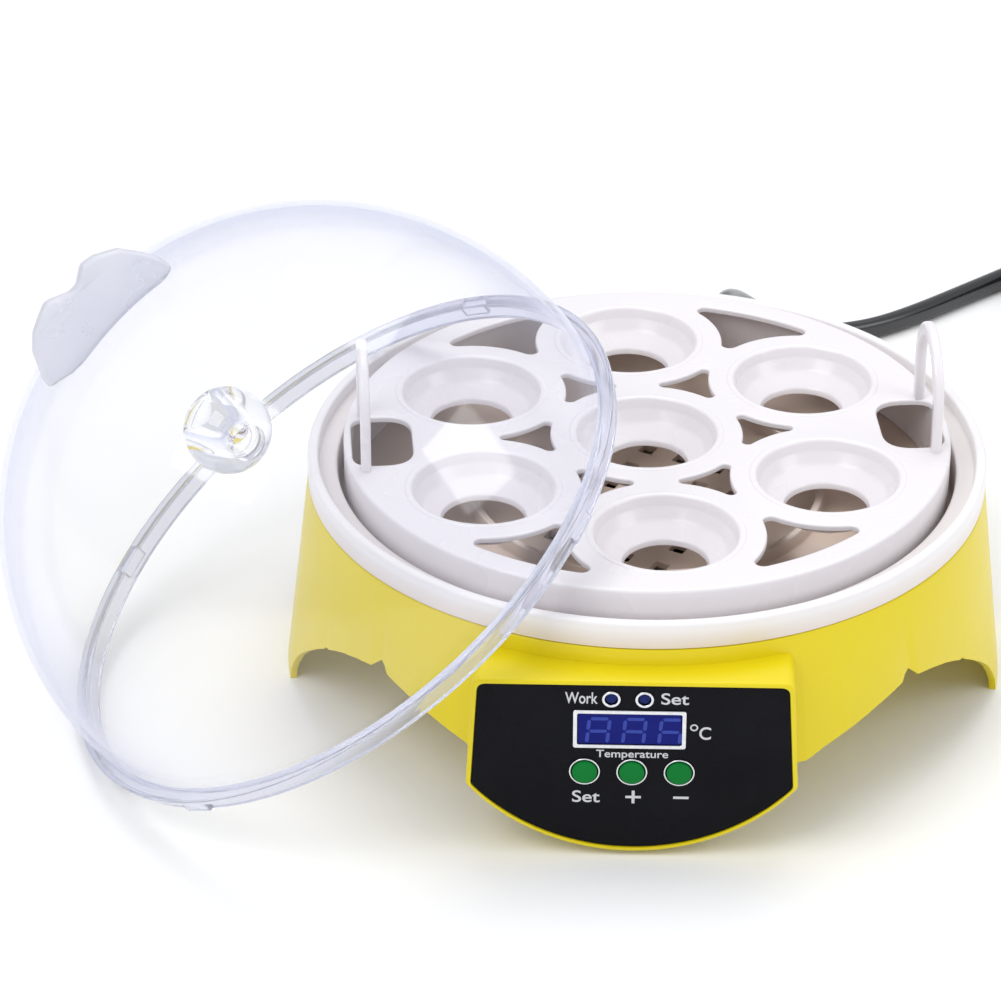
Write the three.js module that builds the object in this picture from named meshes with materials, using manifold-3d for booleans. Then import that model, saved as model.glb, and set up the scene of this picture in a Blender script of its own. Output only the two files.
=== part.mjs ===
// Small round egg incubator: a yellow flared base with a control panel on its front, a white liner with a
// water basin and a vented floor, a white seven-egg tray with two lifting loops, a clear dome lid that
// leans against the left of the base, and a black mains lead that leaves the back.
// Millimetres, +Z up, the origin on the standing surface at the base's axis; the panel faces -Y.
import * as THREE from 'three';
import { mergeVertices } from 'three/addons/utils/BufferGeometryUtils.js';
import Module from 'manifold-3d';

const wasm = await Module();
wasm.setup();

// ---- driving dimensions -------------------------------------------------------------------------------
const BASE_HEIGHT = 86;          // standing surface to the top of the white band
const BAND_RADIUS = 120;         // outside of the white band
const BAND_HEIGHT = 10;
const BAND_TOP_WIDTH = 4;        // the band's rim, outside to inside
const SHELL_FLARE = 9;           // the yellow shell flares by this, down to the standing surface
const FOOT_RADIUS = BAND_RADIUS + SHELL_FLARE;
const SHELL_WALL = 2.4;
const LINER_WALL = 2.4;
const SEAT_DEPTH = 5;            // the lid's seat lies this far below the band's top
const BASIN_RADIUS = 109.5;      // inside of the basin at the lid's seat
const FLOOR_DEPTH = 20;          // band's top to the basin's floor
const TRAY_RADIUS = 107.3;
const TRAY_PROUD = 5;            // the tray's top stands this far above the band
const TRAY_TURN = 5.5;           // degrees that the tray sits turned in its basin
const CUP_PITCH = 69.2;          // centre of the tray to the centre of an outer cup
const CUP_RADIUS = 24.8;
const CUP_DEPTH = 12;
const CUP_HOLE_RADIUS = 14.3;
const LOOP_HEIGHT = 38;          // lifting loop above the tray's top
const LOOP_HALF_SPAN = 19.5;
const LOOP_SETBACK = 7.3;        // tray's edge to the middle of a lifting loop
const LOOP_PITCH = TRAY_RADIUS - LOOP_SETBACK;
const LID_LEAN = 35.2;           // degrees between the lid's axis and the vertical
const LID_TURN = 14;             // degrees that the lean is turned from the X axis
const LID_FOOT_X = -192.9;       // where the lid's lip stands on the table
const LID_FOOT_Y = -63.7;
const DOME_RADIUS = 111;
const DOME_RISE = 12;            // the dome's centre above the rim's plane
const DOME_WALL = 2.2;
const VENT_BALL_RADIUS = 14.3;
const VENT_BORE_RADIUS = 6;
const COMB_LENGTH = 58;
const COMB_HEIGHT = 23;
const PANEL_CENTRE = -4;         // the panel's middle, along X
const PANEL_WIDTH = 108;
const PANEL_TOP = 68.5;
const PANEL_SIDE_FOOT = 28.5;    // height where the sides end and the bottom arc starts
const PANEL_FOOT = 3.8;          // lowest point of the bottom arc
const PANEL_FRONT = FOOT_RADIUS + 1; // base's axis to the panel's face
const PANEL_THICKNESS = 1.6;
const BUTTON_PITCH = 15.8;
const BUTTON_RADIUS = 4.2;
const BUTTON_HEIGHT_ON_PANEL = 34.4;
const FAN_SIZE = 50;
const FAN_THICKNESS = 10;
const CORD_DIAMETER = 9;
const COVER_THICKNESS = 2.2;
const COVER_HEIGHT = 46;         // underside of the bottom cover above the standing surface

// ---- clearances ---------------------------------------------------------------------------------------
const SEAT_GAP = 0.3;            // between pieces that rest on each other
const LID_CLEARANCE = 1.35;      // lid's flange to the band's inside
const SLIP_GAP = 0.4;            // between a pin and its hole, or a button and its ring
const COVER_CLEARANCE = 0.6;

// ---- facets -------------------------------------------------------------------------------------------
const FINE = 48;
const MEDIUM = 24;
const SMALL = 16;
const PIN_FACETS = 8;

// ---- heights and radii that follow --------------------------------------------------------------------
const SHELL_TOP = BASE_HEIGHT - BAND_HEIGHT;
const SEAT_HEIGHT = BASE_HEIGHT - SEAT_DEPTH;
const FLOOR_HEIGHT = BASE_HEIGHT - FLOOR_DEPTH;
const FLOOR_UNDERSIDE = FLOOR_HEIGHT - LINER_WALL;
const BAND_INSIDE = BAND_RADIUS - BAND_TOP_WIDTH;
const COVER_TOP = COVER_HEIGHT + COVER_THICKNESS;
const LID_RADIUS = BAND_INSIDE - LID_CLEARANCE;
const TRAY_TOP = BASE_HEIGHT + TRAY_PROUD;
const SHELL_SLOPE = (FOOT_RADIUS - BAND_RADIUS) / SHELL_TOP;

function shellRadius(height) {
  return BAND_RADIUS + (SHELL_TOP - height) * SHELL_SLOPE;
}

function radians(degrees) {
  return THREE.MathUtils.degToRad(degrees);
}

// ---- solids -------------------------------------------------------------------------------------------

function signedVolume(position, index) {
  const corners = [new THREE.Vector3(), new THREE.Vector3(), new THREE.Vector3()];
  let volume = 0;
  for (let i = 0; i < index.length; i += 3) {
    corners.forEach((corner, k) => corner.fromBufferAttribute(position, index[i + k]));
    volume += corners[0].dot(corners[1].clone().cross(corners[2])) / 6;
  }
  return volume;
}

// A closed solid from a three.js geometry, with its faces pointing outwards.
function solid(geometry) {
  const bare = geometry.clone();
  bare.deleteAttribute('normal');
  bare.deleteAttribute('uv');
  const merged = mergeVertices(bare, 1e-4);
  const index = Array.from(merged.index.array);
  if (signedVolume(merged.attributes.position, index) < 0) {
    index.reverse();
  }
  const mesh = new wasm.Mesh({
    numProp: 3,
    vertProperties: new Float32Array(merged.attributes.position.array),
    triVerts: new Uint32Array(index),
  });
  return new wasm.Manifold(mesh);
}

function geometryOf(body) {
  const mesh = body.getMesh();
  const geometry = new THREE.BufferGeometry();
  geometry.setAttribute('position', new THREE.Float32BufferAttribute(mesh.vertProperties, 3));
  geometry.setIndex(Array.from(mesh.triVerts));
  geometry.computeVertexNormals();
  return geometry;
}

function joined(bodies) {
  return bodies.reduce((whole, body) => whole.add(body));
}

// Turned about Z from a closed outline of [radius, height] pairs.
function turned(outline, facets) {
  const points = outline.map(([radius, height]) => new THREE.Vector2(radius, height));
  return solid(new THREE.LatheGeometry(points, facets).rotateX(Math.PI / 2));
}

function ring(inner, outer, low, high, facets) {
  return turned([[inner, low], [outer, low], [outer, high], [inner, high], [inner, low]], facets);
}

function disc(radius, low, high, facets) {
  const cylinder = new THREE.CylinderGeometry(radius, radius, high - low, facets);
  return solid(cylinder.rotateX(Math.PI / 2).translate(0, 0, (low + high) / 2));
}

function box(x0, x1, y0, y1, z0, z1) {
  const block = new THREE.BoxGeometry(x1 - x0, y1 - y0, z1 - z0);
  return solid(block.translate((x0 + x1) / 2, (y0 + y1) / 2, (z0 + z1) / 2));
}

function raised(shape, depth, curveSegments) {
  return new THREE.ExtrudeGeometry(shape, { depth, bevelEnabled: false, curveSegments });
}

// A flat outline in X and Y, raised from low to high.
function plate(shape, low, high, curveSegments = 12) {
  return solid(raised(shape, high - low, curveSegments).translate(0, 0, low));
}

// An outline in X and Z that reaches from the front face at y = -front back to y = -back.
function facing(shape, front, back, curveSegments = 12) {
  return solid(raised(shape, front - back, curveSegments).rotateX(Math.PI / 2).translate(0, -back, 0));
}

// A round pin or bore along Y on the panel.
function frontPin(x, z, radius, front, back, facets = SMALL) {
  const cylinder = new THREE.CylinderGeometry(radius, radius, front - back, facets);
  return solid(cylinder.translate(x, -(front + back) / 2, z));
}

function rounded(corners, radius) {
  const shape = new THREE.Shape();
  const count = corners.length;
  corners.forEach((corner, i) => {
    const before = corners[(i + count - 1) % count];
    const after = corners[(i + 1) % count];
    const start = corner.clone().add(before.clone().sub(corner).setLength(radius));
    const end = corner.clone().add(after.clone().sub(corner).setLength(radius));
    if (i === 0) {
      shape.moveTo(start.x, start.y);
    } else {
      shape.lineTo(start.x, start.y);
    }
    shape.quadraticCurveTo(corner.x, corner.y, end.x, end.y);
  });
  shape.closePath();
  return shape;
}

function polar(radius, degrees) {
  return new THREE.Vector2(radius * Math.cos(radians(degrees)), radius * Math.sin(radians(degrees)));
}

// ---- materials ----------------------------------------------------------------------------------------

function finish(color, roughness, metalness = 0, opacity = 1) {
  return new THREE.MeshStandardMaterial({ color, roughness, metalness, opacity, transparent: opacity < 1 });
}

const YELLOW = finish(0xe0c62a, 0.38);
const WHITE = finish(0xf1eef2, 0.35);
const CLEAR = finish(0xdfe4f6, 0.08, 0, 0.3);
const BLACK_GLOSS = finish(0x15161a, 0.3);
const SILVER = finish(0xc8c9cc, 0.25, 0.9);
const BLUE = finish(0x0c1a70, 0.2);
const GREEN = finish(0x0c8236, 0.4);
const BOARD = finish(0x1f5a34, 0.6);
const BLACK_RUBBER = finish(0x111114, 0.5);
const DARK_PLASTIC = finish(0x26272b, 0.5);
const BRASS = finish(0xc9a24a, 0.3, 1);
const STEEL = finish(0x9b9da1, 0.35, 1);
const CERAMIC = finish(0xd9d2c4, 0.7);

const incubator = new THREE.Group();

function addPiece(name, body, material, parent = incubator) {
  const mesh = new THREE.Mesh(geometryOf(body), material);
  mesh.name = name;
  parent.add(mesh);
  return mesh;
}

// ---- panel outline ------------------------------------------------------------------------------------

const PANEL_CORNER = 3.2;
const HOUSING_RIM = 1.8;         // yellow rim around the panel plate
const HOUSING_FRONT = PANEL_FRONT + 0.5;
const HOUSING_SKIN = 2;          // housing walls behind the rim
const PLATE_GAP = 0.25;          // panel plate to its pocket
const ARC_FACETS = 12;

// The panel's outline, grown by an offset: flat top, straight sides and a shallow bottom arc.
function panelOutline(offset, arcFacets = ARC_FACETS) {
  const half = PANEL_WIDTH / 2 + offset;
  const top = PANEL_TOP + offset;
  const low = PANEL_FOOT - offset;
  const sagitta = PANEL_SIDE_FOOT - low;
  const radius = (half * half + sagitta * sagitta) / (2 * sagitta);
  const spread = Math.asin(half / radius);
  const shape = new THREE.Shape();
  shape.moveTo(PANEL_CENTRE + half, top - PANEL_CORNER);
  shape.quadraticCurveTo(PANEL_CENTRE + half, top, PANEL_CENTRE + half - PANEL_CORNER, top);
  shape.lineTo(PANEL_CENTRE - half + PANEL_CORNER, top);
  shape.quadraticCurveTo(PANEL_CENTRE - half, top, PANEL_CENTRE - half, top - PANEL_CORNER);
  for (let i = 0; i <= arcFacets; i += 1) {
    const angle = -spread + (2 * spread * i) / arcFacets;
    shape.lineTo(PANEL_CENTRE + radius * Math.sin(angle), low + radius - radius * Math.cos(angle));
  }
  shape.closePath();
  return shape;
}

// ---- base shell ---------------------------------------------------------------------------------------

const FLANGE_REACH = 3;          // inner flange that the bottom cover pulls against
const FLANGE_THICKNESS = 2;
const FLANGE_LOW = COVER_TOP + SEAT_GAP;
const CUT_REACH = 12;            // how far a cut starts inside the wall
const CUT_OVERRUN = 36;          // how far it runs on outside, past the sag of its flat facets
const CRACK_STEP = 7;            // degrees between the points of a cut's edge

// Lower edge of the shell from a side foot to the next foot: [degrees from the side foot's middle, height].
const CRACKED_EDGE = [
  [9, -1], [12, 8], [17.5, 20.5], [27, 34.5], [33, 39.8], [41, 43.4], [43.4, 47.6], [44.6, 43.4],
  [62, 31], [65.5, 26], [65.5, -1],
];

// A prism through the wall below the cracked edge, bent round the base's axis.
function archCut(startDegrees, direction) {
  const shape = new THREE.Shape();
  const first = CRACKED_EDGE[0];
  shape.moveTo(first[0], first[1]);
  for (let i = 1; i <= CRACKED_EDGE.length; i += 1) {
    const [fromTurn, fromHeight] = CRACKED_EDGE[i - 1];
    const [toTurn, toHeight] = CRACKED_EDGE[i % CRACKED_EDGE.length];
    const steps = Math.ceil(Math.abs(toTurn - fromTurn) / CRACK_STEP) || 1;
    for (let step = 1; step <= steps; step += 1) {
      const part = step / steps;
      shape.lineTo(fromTurn + (toTurn - fromTurn) * part, fromHeight + (toHeight - fromHeight) * part);
    }
  }
  shape.closePath();
  const depth = FOOT_RADIUS - BAND_RADIUS + CUT_REACH + CUT_OVERRUN;
  const geometry = new THREE.ExtrudeGeometry(shape, { depth, bevelEnabled: false });
  const position = geometry.attributes.position;
  for (let i = 0; i < position.count; i += 1) {
    const turn = radians(startDegrees + direction * position.getX(i));
    const radius = BAND_RADIUS - CUT_REACH + position.getZ(i);
    position.setXYZ(i, radius * Math.cos(turn), radius * Math.sin(turn), position.getY(i));
  }
  return solid(geometry);
}

const GLAND_TURN = 80;           // degrees round the base from +X to the lead's gland
const GLAND_HEIGHT = 53.2;
const GLAND_NECK_RADIUS = 4.6;

function glandBore(radius, from, to, facets = SMALL) {
  const cylinder = new THREE.CylinderGeometry(radius, radius, to - from, facets);
  cylinder.rotateZ(-Math.PI / 2).translate((from + to) / 2, 0, GLAND_HEIGHT);
  return solid(cylinder.rotateZ(radians(GLAND_TURN)));
}

function baseShell() {
  const wallAt = (height) => shellRadius(height) - SHELL_WALL;
  const flangeTop = FLANGE_LOW + FLANGE_THICKNESS;
  let shell = turned([
    [shellRadius(SHELL_TOP), SHELL_TOP], [wallAt(SHELL_TOP), SHELL_TOP],
    [wallAt(flangeTop), flangeTop], [wallAt(flangeTop) - FLANGE_REACH, flangeTop],
    [wallAt(FLANGE_LOW) - FLANGE_REACH, FLANGE_LOW], [wallAt(FLANGE_LOW), FLANGE_LOW],
    [wallAt(0), 0], [shellRadius(0), 0], [shellRadius(SHELL_TOP), SHELL_TOP],
  ], FINE);
  for (const direction of [1, -1]) {
    shell = shell.subtract(archCut(0, direction));
    shell = shell.subtract(archCut(180, direction));
  }
  const inside = turned([
    [0, -1], [wallAt(-1), -1], [wallAt(SHELL_TOP + 1), SHELL_TOP + 1], [0, SHELL_TOP + 1],
  ], FINE);
  const deep = PANEL_FRONT - FOOT_RADIUS / 2;
  const housing = facing(panelOutline(HOUSING_RIM), HOUSING_FRONT, deep).subtract(inside);
  const halfCut = PANEL_WIDTH / 2 + HOUSING_RIM - PANEL_CENTRE;
  const underCut = box(PANEL_CENTRE - halfCut, PANEL_CENTRE + halfCut, -HOUSING_FRONT - 1, -deep, -1,
    PANEL_SIDE_FOOT).subtract(facing(panelOutline(HOUSING_RIM), HOUSING_FRONT + 2, deep - 1));
  shell = shell.subtract(underCut).add(housing);
  shell = shell.subtract(facing(panelOutline(PLATE_GAP), HOUSING_FRONT + 1, PANEL_FRONT - PANEL_THICKNESS));
  const cavity = facing(panelOutline(-HOUSING_SKIN), PANEL_FRONT, deep)
    .intersect(box(-BAND_RADIUS, BAND_RADIUS, -BAND_RADIUS * 2, 0, PANEL_SIDE_FOOT, PANEL_TOP));
  shell = shell.subtract(cavity);
  return shell.subtract(glandBore(GLAND_NECK_RADIUS + SLIP_GAP, BAND_RADIUS - CUT_REACH, FOOT_RADIUS + 1));
}

// ---- liner --------------------------------------------------------------------------------------------

const WATER_WALL_RADIUS = 62;
const WATER_WALL_HEIGHT = 5;
const WATER_WALL = 1.8;
const VENT_PITCH = 14;
const VENT_SIZE = 5.6;
const VENT_TURN = -28;
const VENT_FIELD_RADIUS = 55;
const BOSS_PITCH = 96;
const BOSS_RADIUS = 4;
const PILOT_RADIUS = 1.3;
const PILOT_DEPTH = 11;
const BOSS_TURNS = [35, 145, 215, 325];
const FAN_HOLE_PITCH = 20;       // fan's axis to a mounting hole, along X and along Y
const FAN_DROP = 1.6;            // floor's underside to the fan's top
const FAN_TOP = FLOOR_UNDERSIDE - FAN_DROP;
const FAN_LOW = FAN_TOP - FAN_THICKNESS;
const FAN_PIN_RADIUS = 1.7;
const FAN_PIN_TIP = 2;           // the pins end this far above the fan's underside
const HEATER_RADIUS = 41;
const HEATER_DROP = 5;           // floor's underside to the heater's top
const HEATER_SECTION = { halfWidth: 2, height: 5 };
const HEATER_TOP = FLOOR_UNDERSIDE - HEATER_DROP;
const HEATER_CLIP_TURNS = [90, 210, 330];
const CLIP_RADIUS = 2;
const FAN_PIN_TURNS = [45, 135, 225, 315];
const FAN_PIN_PITCH = FAN_HOLE_PITCH * Math.SQRT2;
const LINER_EDGE = 1;            // small chamfer along the band's rim

function ventHoles() {
  const holes = [];
  const reach = Math.ceil(VENT_FIELD_RADIUS / VENT_PITCH);
  for (let i = -reach; i <= reach; i += 1) {
    for (let j = -reach; j <= reach; j += 1) {
      const centre = new THREE.Vector2(i * VENT_PITCH, j * VENT_PITCH);
      const onHeaterClip = HEATER_CLIP_TURNS.some((turn) =>
        centre.distanceTo(polar(HEATER_RADIUS, turn - VENT_TURN)) < VENT_SIZE);
      const onFanPin = FAN_PIN_TURNS.some((turn) =>
        centre.distanceTo(polar(FAN_PIN_PITCH, turn - VENT_TURN)) < VENT_SIZE);
      if (centre.length() < VENT_FIELD_RADIUS && !onHeaterClip && !onFanPin) {
        const hole = new THREE.BoxGeometry(VENT_SIZE, VENT_SIZE, 3 * LINER_WALL);
        hole.translate(centre.x, centre.y, FLOOR_HEIGHT - LINER_WALL / 2).rotateZ(radians(VENT_TURN));
        holes.push(solid(hole));
      }
    }
  }
  return joined(holes);
}

function liner() {
  const bandFoot = SHELL_TOP + SEAT_GAP;
  const skirtInside = BAND_RADIUS - SHELL_WALL;
  let body = turned([
    [0, FLOOR_HEIGHT], [WATER_WALL_RADIUS, FLOOR_HEIGHT],
    [WATER_WALL_RADIUS, FLOOR_HEIGHT + WATER_WALL_HEIGHT],
    [WATER_WALL_RADIUS + WATER_WALL, FLOOR_HEIGHT + WATER_WALL_HEIGHT],
    [WATER_WALL_RADIUS + WATER_WALL, FLOOR_HEIGHT],
    [BASIN_RADIUS - LINER_EDGE, FLOOR_HEIGHT], [BASIN_RADIUS, SEAT_HEIGHT], [BAND_INSIDE, SEAT_HEIGHT],
    [BAND_INSIDE, BASE_HEIGHT - LINER_EDGE], [BAND_INSIDE + LINER_EDGE, BASE_HEIGHT],
    [BAND_RADIUS - LINER_EDGE, BASE_HEIGHT], [BAND_RADIUS, BASE_HEIGHT - LINER_EDGE],
    [BAND_RADIUS, bandFoot], [skirtInside, bandFoot], [skirtInside, SEAT_HEIGHT - LINER_WALL],
    [BASIN_RADIUS + LINER_WALL, SEAT_HEIGHT - LINER_WALL],
    [BASIN_RADIUS - LINER_EDGE + LINER_WALL, FLOOR_UNDERSIDE], [0, FLOOR_UNDERSIDE],
  ], FINE);
  body = body.subtract(ventHoles());
  const additions = [];
  const pilots = [];
  for (const turn of BOSS_TURNS) {
    const place = polar(BOSS_PITCH, turn);
    const bossFoot = COVER_TOP + SEAT_GAP;
    additions.push(disc(BOSS_RADIUS, bossFoot, FLOOR_UNDERSIDE + 1, SMALL).translate(place.x, place.y, 0));
    pilots.push(disc(PILOT_RADIUS, bossFoot - 1, bossFoot + PILOT_DEPTH, PIN_FACETS)
      .translate(place.x, place.y, 0));
  }
  for (const turn of FAN_PIN_TURNS) {
    const place = polar(FAN_PIN_PITCH, turn);
    additions.push(disc(FAN_PIN_RADIUS, FAN_LOW + FAN_PIN_TIP, FLOOR_UNDERSIDE + 1, PIN_FACETS)
      .translate(place.x, place.y, 0));
    additions.push(disc(2 * FAN_PIN_RADIUS, FAN_TOP + SEAT_GAP, FLOOR_UNDERSIDE + 1, PIN_FACETS)
      .translate(place.x, place.y, 0));
  }
  for (const turn of HEATER_CLIP_TURNS) {
    const place = polar(HEATER_RADIUS, turn);
    additions.push(disc(CLIP_RADIUS, HEATER_TOP + SEAT_GAP, FLOOR_UNDERSIDE + 1, PIN_FACETS)
      .translate(place.x, place.y, 0));
  }
  return joined([body, ...additions]).subtract(joined(pilots));
}

// ---- bottom cover, feet and screws ----------------------------------------------------------------------

const SCREW_RADIUS = 1.25;
const SCREW_HEAD_RADIUS = 3.2;
const SCREW_HEAD = 1.6;
const SCREW_LENGTH = 9;
const THREAD_SLACK = 0.1;
const POST_RADIUS = 2.5;
const POST_HEIGHT = 2.5;
const BOARD_THICKNESS = 1.6;
const POWER_BOARD = { x: 0, y: 76, width: 62, depth: 28 };
const BOARD_BAY_BACK = PANEL_FRONT - 18; // the control board hangs in front of this
const APRON_INSET = 8;
const APRON_HALF_WIDTH = PANEL_WIDTH / 2 - APRON_INSET; // the apron closes the bay behind the control board
const COVER_VENT = { width: 3, length: 22, pitch: 8, count: 5 };

function coverPosts() {
  const posts = [];
  for (const side of [-1, 1]) {
    const x = POWER_BOARD.x + side * (POWER_BOARD.width / 2 - 2 * POST_RADIUS);
    posts.push(disc(POST_RADIUS, COVER_HEIGHT + 1, COVER_TOP + POST_HEIGHT, SMALL)
      .translate(x, POWER_BOARD.y, 0));
  }
  return joined(posts);
}

function bottomCover() {
  const radius = shellRadius(COVER_HEIGHT + COVER_THICKNESS) - SHELL_WALL - COVER_CLEARANCE;
  let cover = disc(radius, COVER_HEIGHT, COVER_TOP, FINE).add(coverPosts());
  for (const turn of BOSS_TURNS) {
    const place = polar(BOSS_PITCH, turn);
    cover = cover.subtract(disc(SCREW_RADIUS + SLIP_GAP, COVER_HEIGHT - 1, COVER_TOP + 1, PIN_FACETS)
      .translate(place.x, place.y, 0));
  }
  for (let i = 0; i < COVER_VENT.count; i += 1) {
    const x = (i - (COVER_VENT.count - 1) / 2) * COVER_VENT.pitch;
    cover = cover.subtract(box(x - COVER_VENT.width / 2, x + COVER_VENT.width / 2,
      -COVER_VENT.length / 2, COVER_VENT.length / 2, COVER_HEIGHT - 1, COVER_TOP + 1));
  }
  const panelBay = box(PANEL_CENTRE - PANEL_WIDTH / 2, PANEL_CENTRE + PANEL_WIDTH / 2,
    -2 * BAND_RADIUS, -BOARD_BAY_BACK, COVER_HEIGHT - 1, COVER_TOP + 1);
  const apron = box(PANEL_CENTRE - APRON_HALF_WIDTH, PANEL_CENTRE + APRON_HALF_WIDTH, -BOARD_BAY_BACK,
    -BOARD_BAY_BACK + COVER_THICKNESS, PANEL_SIDE_FOOT + SEAT_GAP, COVER_TOP);
  return cover.subtract(panelBay).add(apron);
}

function coverScrew(turn) {
  const place = polar(BOSS_PITCH, turn);
  const head = disc(SCREW_HEAD_RADIUS, COVER_HEIGHT - SEAT_GAP - SCREW_HEAD, COVER_HEIGHT - SEAT_GAP, SMALL);
  const shank = disc(SCREW_RADIUS - THREAD_SLACK, COVER_HEIGHT - 1, COVER_HEIGHT + SCREW_LENGTH, PIN_FACETS);
  return head.add(shank).translate(place.x, place.y, 0);
}

// ---- egg tray -----------------------------------------------------------------------------------------

const TRAY_THICKNESS = 2;
const TRAY_WALL = 2;
const TRAY_FOOT = FLOOR_HEIGHT + SEAT_GAP;
const LOOP_THICKNESS = 3.6;      // along the tray's radius
const LOOP_WIDTH = 5;            // along the loop's span
const CUP_WAIST = 1.8;           // the cup is this much narrower at half its depth
const RIM_CHAMFER = 1;
const CUP_TURNS = [30, 90, 150, 210, 270, 330];
const INNER_HOLE_TURNS = [0, 60, 120, 180, 240, 300];
const OUTER_HOLE_TURNS = [60, 120, 240, 300];
const LOOP_TURNS = [0, 180];
const OUTER_HOLE = { tip: TRAY_RADIUS - 35.8, base: TRAY_RADIUS - 11.8, halfWidth: 19, corner: 3 };
const INNER_HOLE = { tip: 52, base: 34.5, halfWidth: 10.5, corner: 2.4 };
const KEYHOLE = { inner: LOOP_PITCH - 17, outer: LOOP_PITCH + 4, halfLength: 17, corner: 6 };

function cup(x, y) {
  const low = TRAY_TOP - CUP_DEPTH;
  const bowl = turned([
    [CUP_RADIUS + TRAY_WALL, TRAY_TOP], [CUP_RADIUS, TRAY_TOP],
    [CUP_RADIUS - CUP_WAIST, TRAY_TOP - CUP_DEPTH / 2], [CUP_HOLE_RADIUS, low],
    [CUP_HOLE_RADIUS, low - TRAY_WALL],
    [CUP_RADIUS, TRAY_TOP - CUP_DEPTH / 2 - TRAY_WALL], [CUP_RADIUS + TRAY_WALL, TRAY_TOP - TRAY_THICKNESS],
    [CUP_RADIUS + TRAY_WALL, TRAY_TOP],
  ], MEDIUM);
  return bowl.translate(x, y, 0);
}

function triangleHole(hole) {
  const corners = [
    new THREE.Vector2(hole.tip, 0),
    new THREE.Vector2(hole.base, hole.halfWidth),
    new THREE.Vector2(hole.base, -hole.halfWidth),
  ];
  return plate(rounded(corners, hole.corner), TRAY_TOP - 3 * TRAY_THICKNESS, TRAY_TOP + 1, 3);
}

function keyhole() {
  const { inner, outer, halfLength, corner } = KEYHOLE;
  const corners = [
    new THREE.Vector2(inner, -halfLength),
    new THREE.Vector2(outer, -halfLength),
    new THREE.Vector2(outer, halfLength),
    new THREE.Vector2(inner, halfLength),
  ];
  return plate(rounded(corners, corner), TRAY_TOP - 3 * TRAY_THICKNESS, TRAY_TOP + 1, 4);
}

// A lifting loop: two upright legs and a round arch, standing on the tray's top.
function liftingLoop() {
  const legTop = LOOP_HEIGHT - LOOP_HALF_SPAN - LOOP_WIDTH / 2;
  const foot = -TRAY_THICKNESS / 2;
  const outline = new THREE.Shape();
  const outer = LOOP_HALF_SPAN + LOOP_WIDTH / 2;
  const inner = LOOP_HALF_SPAN - LOOP_WIDTH / 2;
  outline.moveTo(outer, foot);
  outline.lineTo(outer, legTop);
  outline.absarc(0, legTop, outer, 0, Math.PI, false);
  outline.lineTo(-outer, foot);
  outline.lineTo(-inner, foot);
  outline.lineTo(-inner, legTop);
  outline.absarc(0, legTop, inner, Math.PI, 0, true);
  outline.lineTo(inner, foot);
  outline.closePath();
  const settings = { depth: LOOP_THICKNESS, bevelEnabled: false, curveSegments: 10 };
  const band = new THREE.ExtrudeGeometry(outline, settings);
  band.rotateX(Math.PI / 2).rotateZ(Math.PI / 2);
  band.translate(LOOP_PITCH - LOOP_THICKNESS / 2, 0, TRAY_TOP);
  return solid(band);
}

function eggTray() {
  let tray = turned([
    [0, TRAY_TOP], [TRAY_RADIUS - RIM_CHAMFER, TRAY_TOP], [TRAY_RADIUS, TRAY_TOP - RIM_CHAMFER],
    [TRAY_RADIUS, TRAY_FOOT], [TRAY_RADIUS - TRAY_WALL, TRAY_FOOT],
    [TRAY_RADIUS - TRAY_WALL, TRAY_TOP - TRAY_THICKNESS], [0, TRAY_TOP - TRAY_THICKNESS],
  ], FINE);
  const centres = [new THREE.Vector2(0, 0), ...CUP_TURNS.map((turn) => polar(CUP_PITCH, turn))];
  for (const centre of centres) {
    tray = tray.subtract(disc(CUP_RADIUS + TRAY_WALL / 2, TRAY_TOP - 3 * TRAY_THICKNESS, TRAY_TOP + 1, MEDIUM)
      .translate(centre.x, centre.y, 0));
    tray = tray.add(cup(centre.x, centre.y));
  }
  for (const turn of INNER_HOLE_TURNS) {
    tray = tray.subtract(triangleHole(INNER_HOLE).rotate([0, 0, turn]));
  }
  for (const turn of OUTER_HOLE_TURNS) {
    tray = tray.subtract(triangleHole(OUTER_HOLE).rotate([0, 0, turn]));
  }
  for (const turn of LOOP_TURNS) {
    tray = tray.subtract(keyhole().rotate([0, 0, turn]));
    tray = tray.add(liftingLoop().rotate([0, 0, turn]));
  }
  return tray;
}

// ---- dome lid -----------------------------------------------------------------------------------------

const FLANGE_HALF = 1.25;        // half the thickness of the lid's flange
const LIP_DROP = 5.5;            // lip's foot below the rim's plane
const LIP_INSET = 2;             // flange's edge to the outside of the lip
const LIP_RADIUS = LID_RADIUS - LIP_INSET;
const LIP_WALL = 2;
const LUG_TURNS = [45, 135, 225, 315];
const LUG_HALF_WIDTH = 6;
const DOME_ROWS = 7;
const VENT_POLAR = 38.5;         // degrees from the dome's top to the vent ball
const BORE_POLAR = 98.2;         // degrees from the lid's axis to the vent's bore, as the ball sits turned
const BORE_BEARING = -68.1;
const VENT_FACETS = { round: 24, rows: 12 };
const VENT_BEARING = -80;        // degrees round the lid from its uphill side
const COMB_BEARING = 16;
const COMB_SHIFT = -7.8;         // comb's middle from the lid's axis, along the comb
const COMB_THICKNESS = 5;
const COMB_SINK = 6;             // the comb's ends reach this far below the dome's top
const COMB_END_LEAN = 1.5;
// Points of the comb's top as [share of half its length, share of its height].
const COMB_LEFT_TOP = [-0.37, 0.93];
const COMB_SADDLE = [-0.1, 0.74];
const COMB_NOTCH = [0.06, 0.76];
const COMB_RIGHT_TOP = [0.22, 1];
const COMB_SHOULDERS = { left: 0.72, right: 0.86 };

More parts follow.
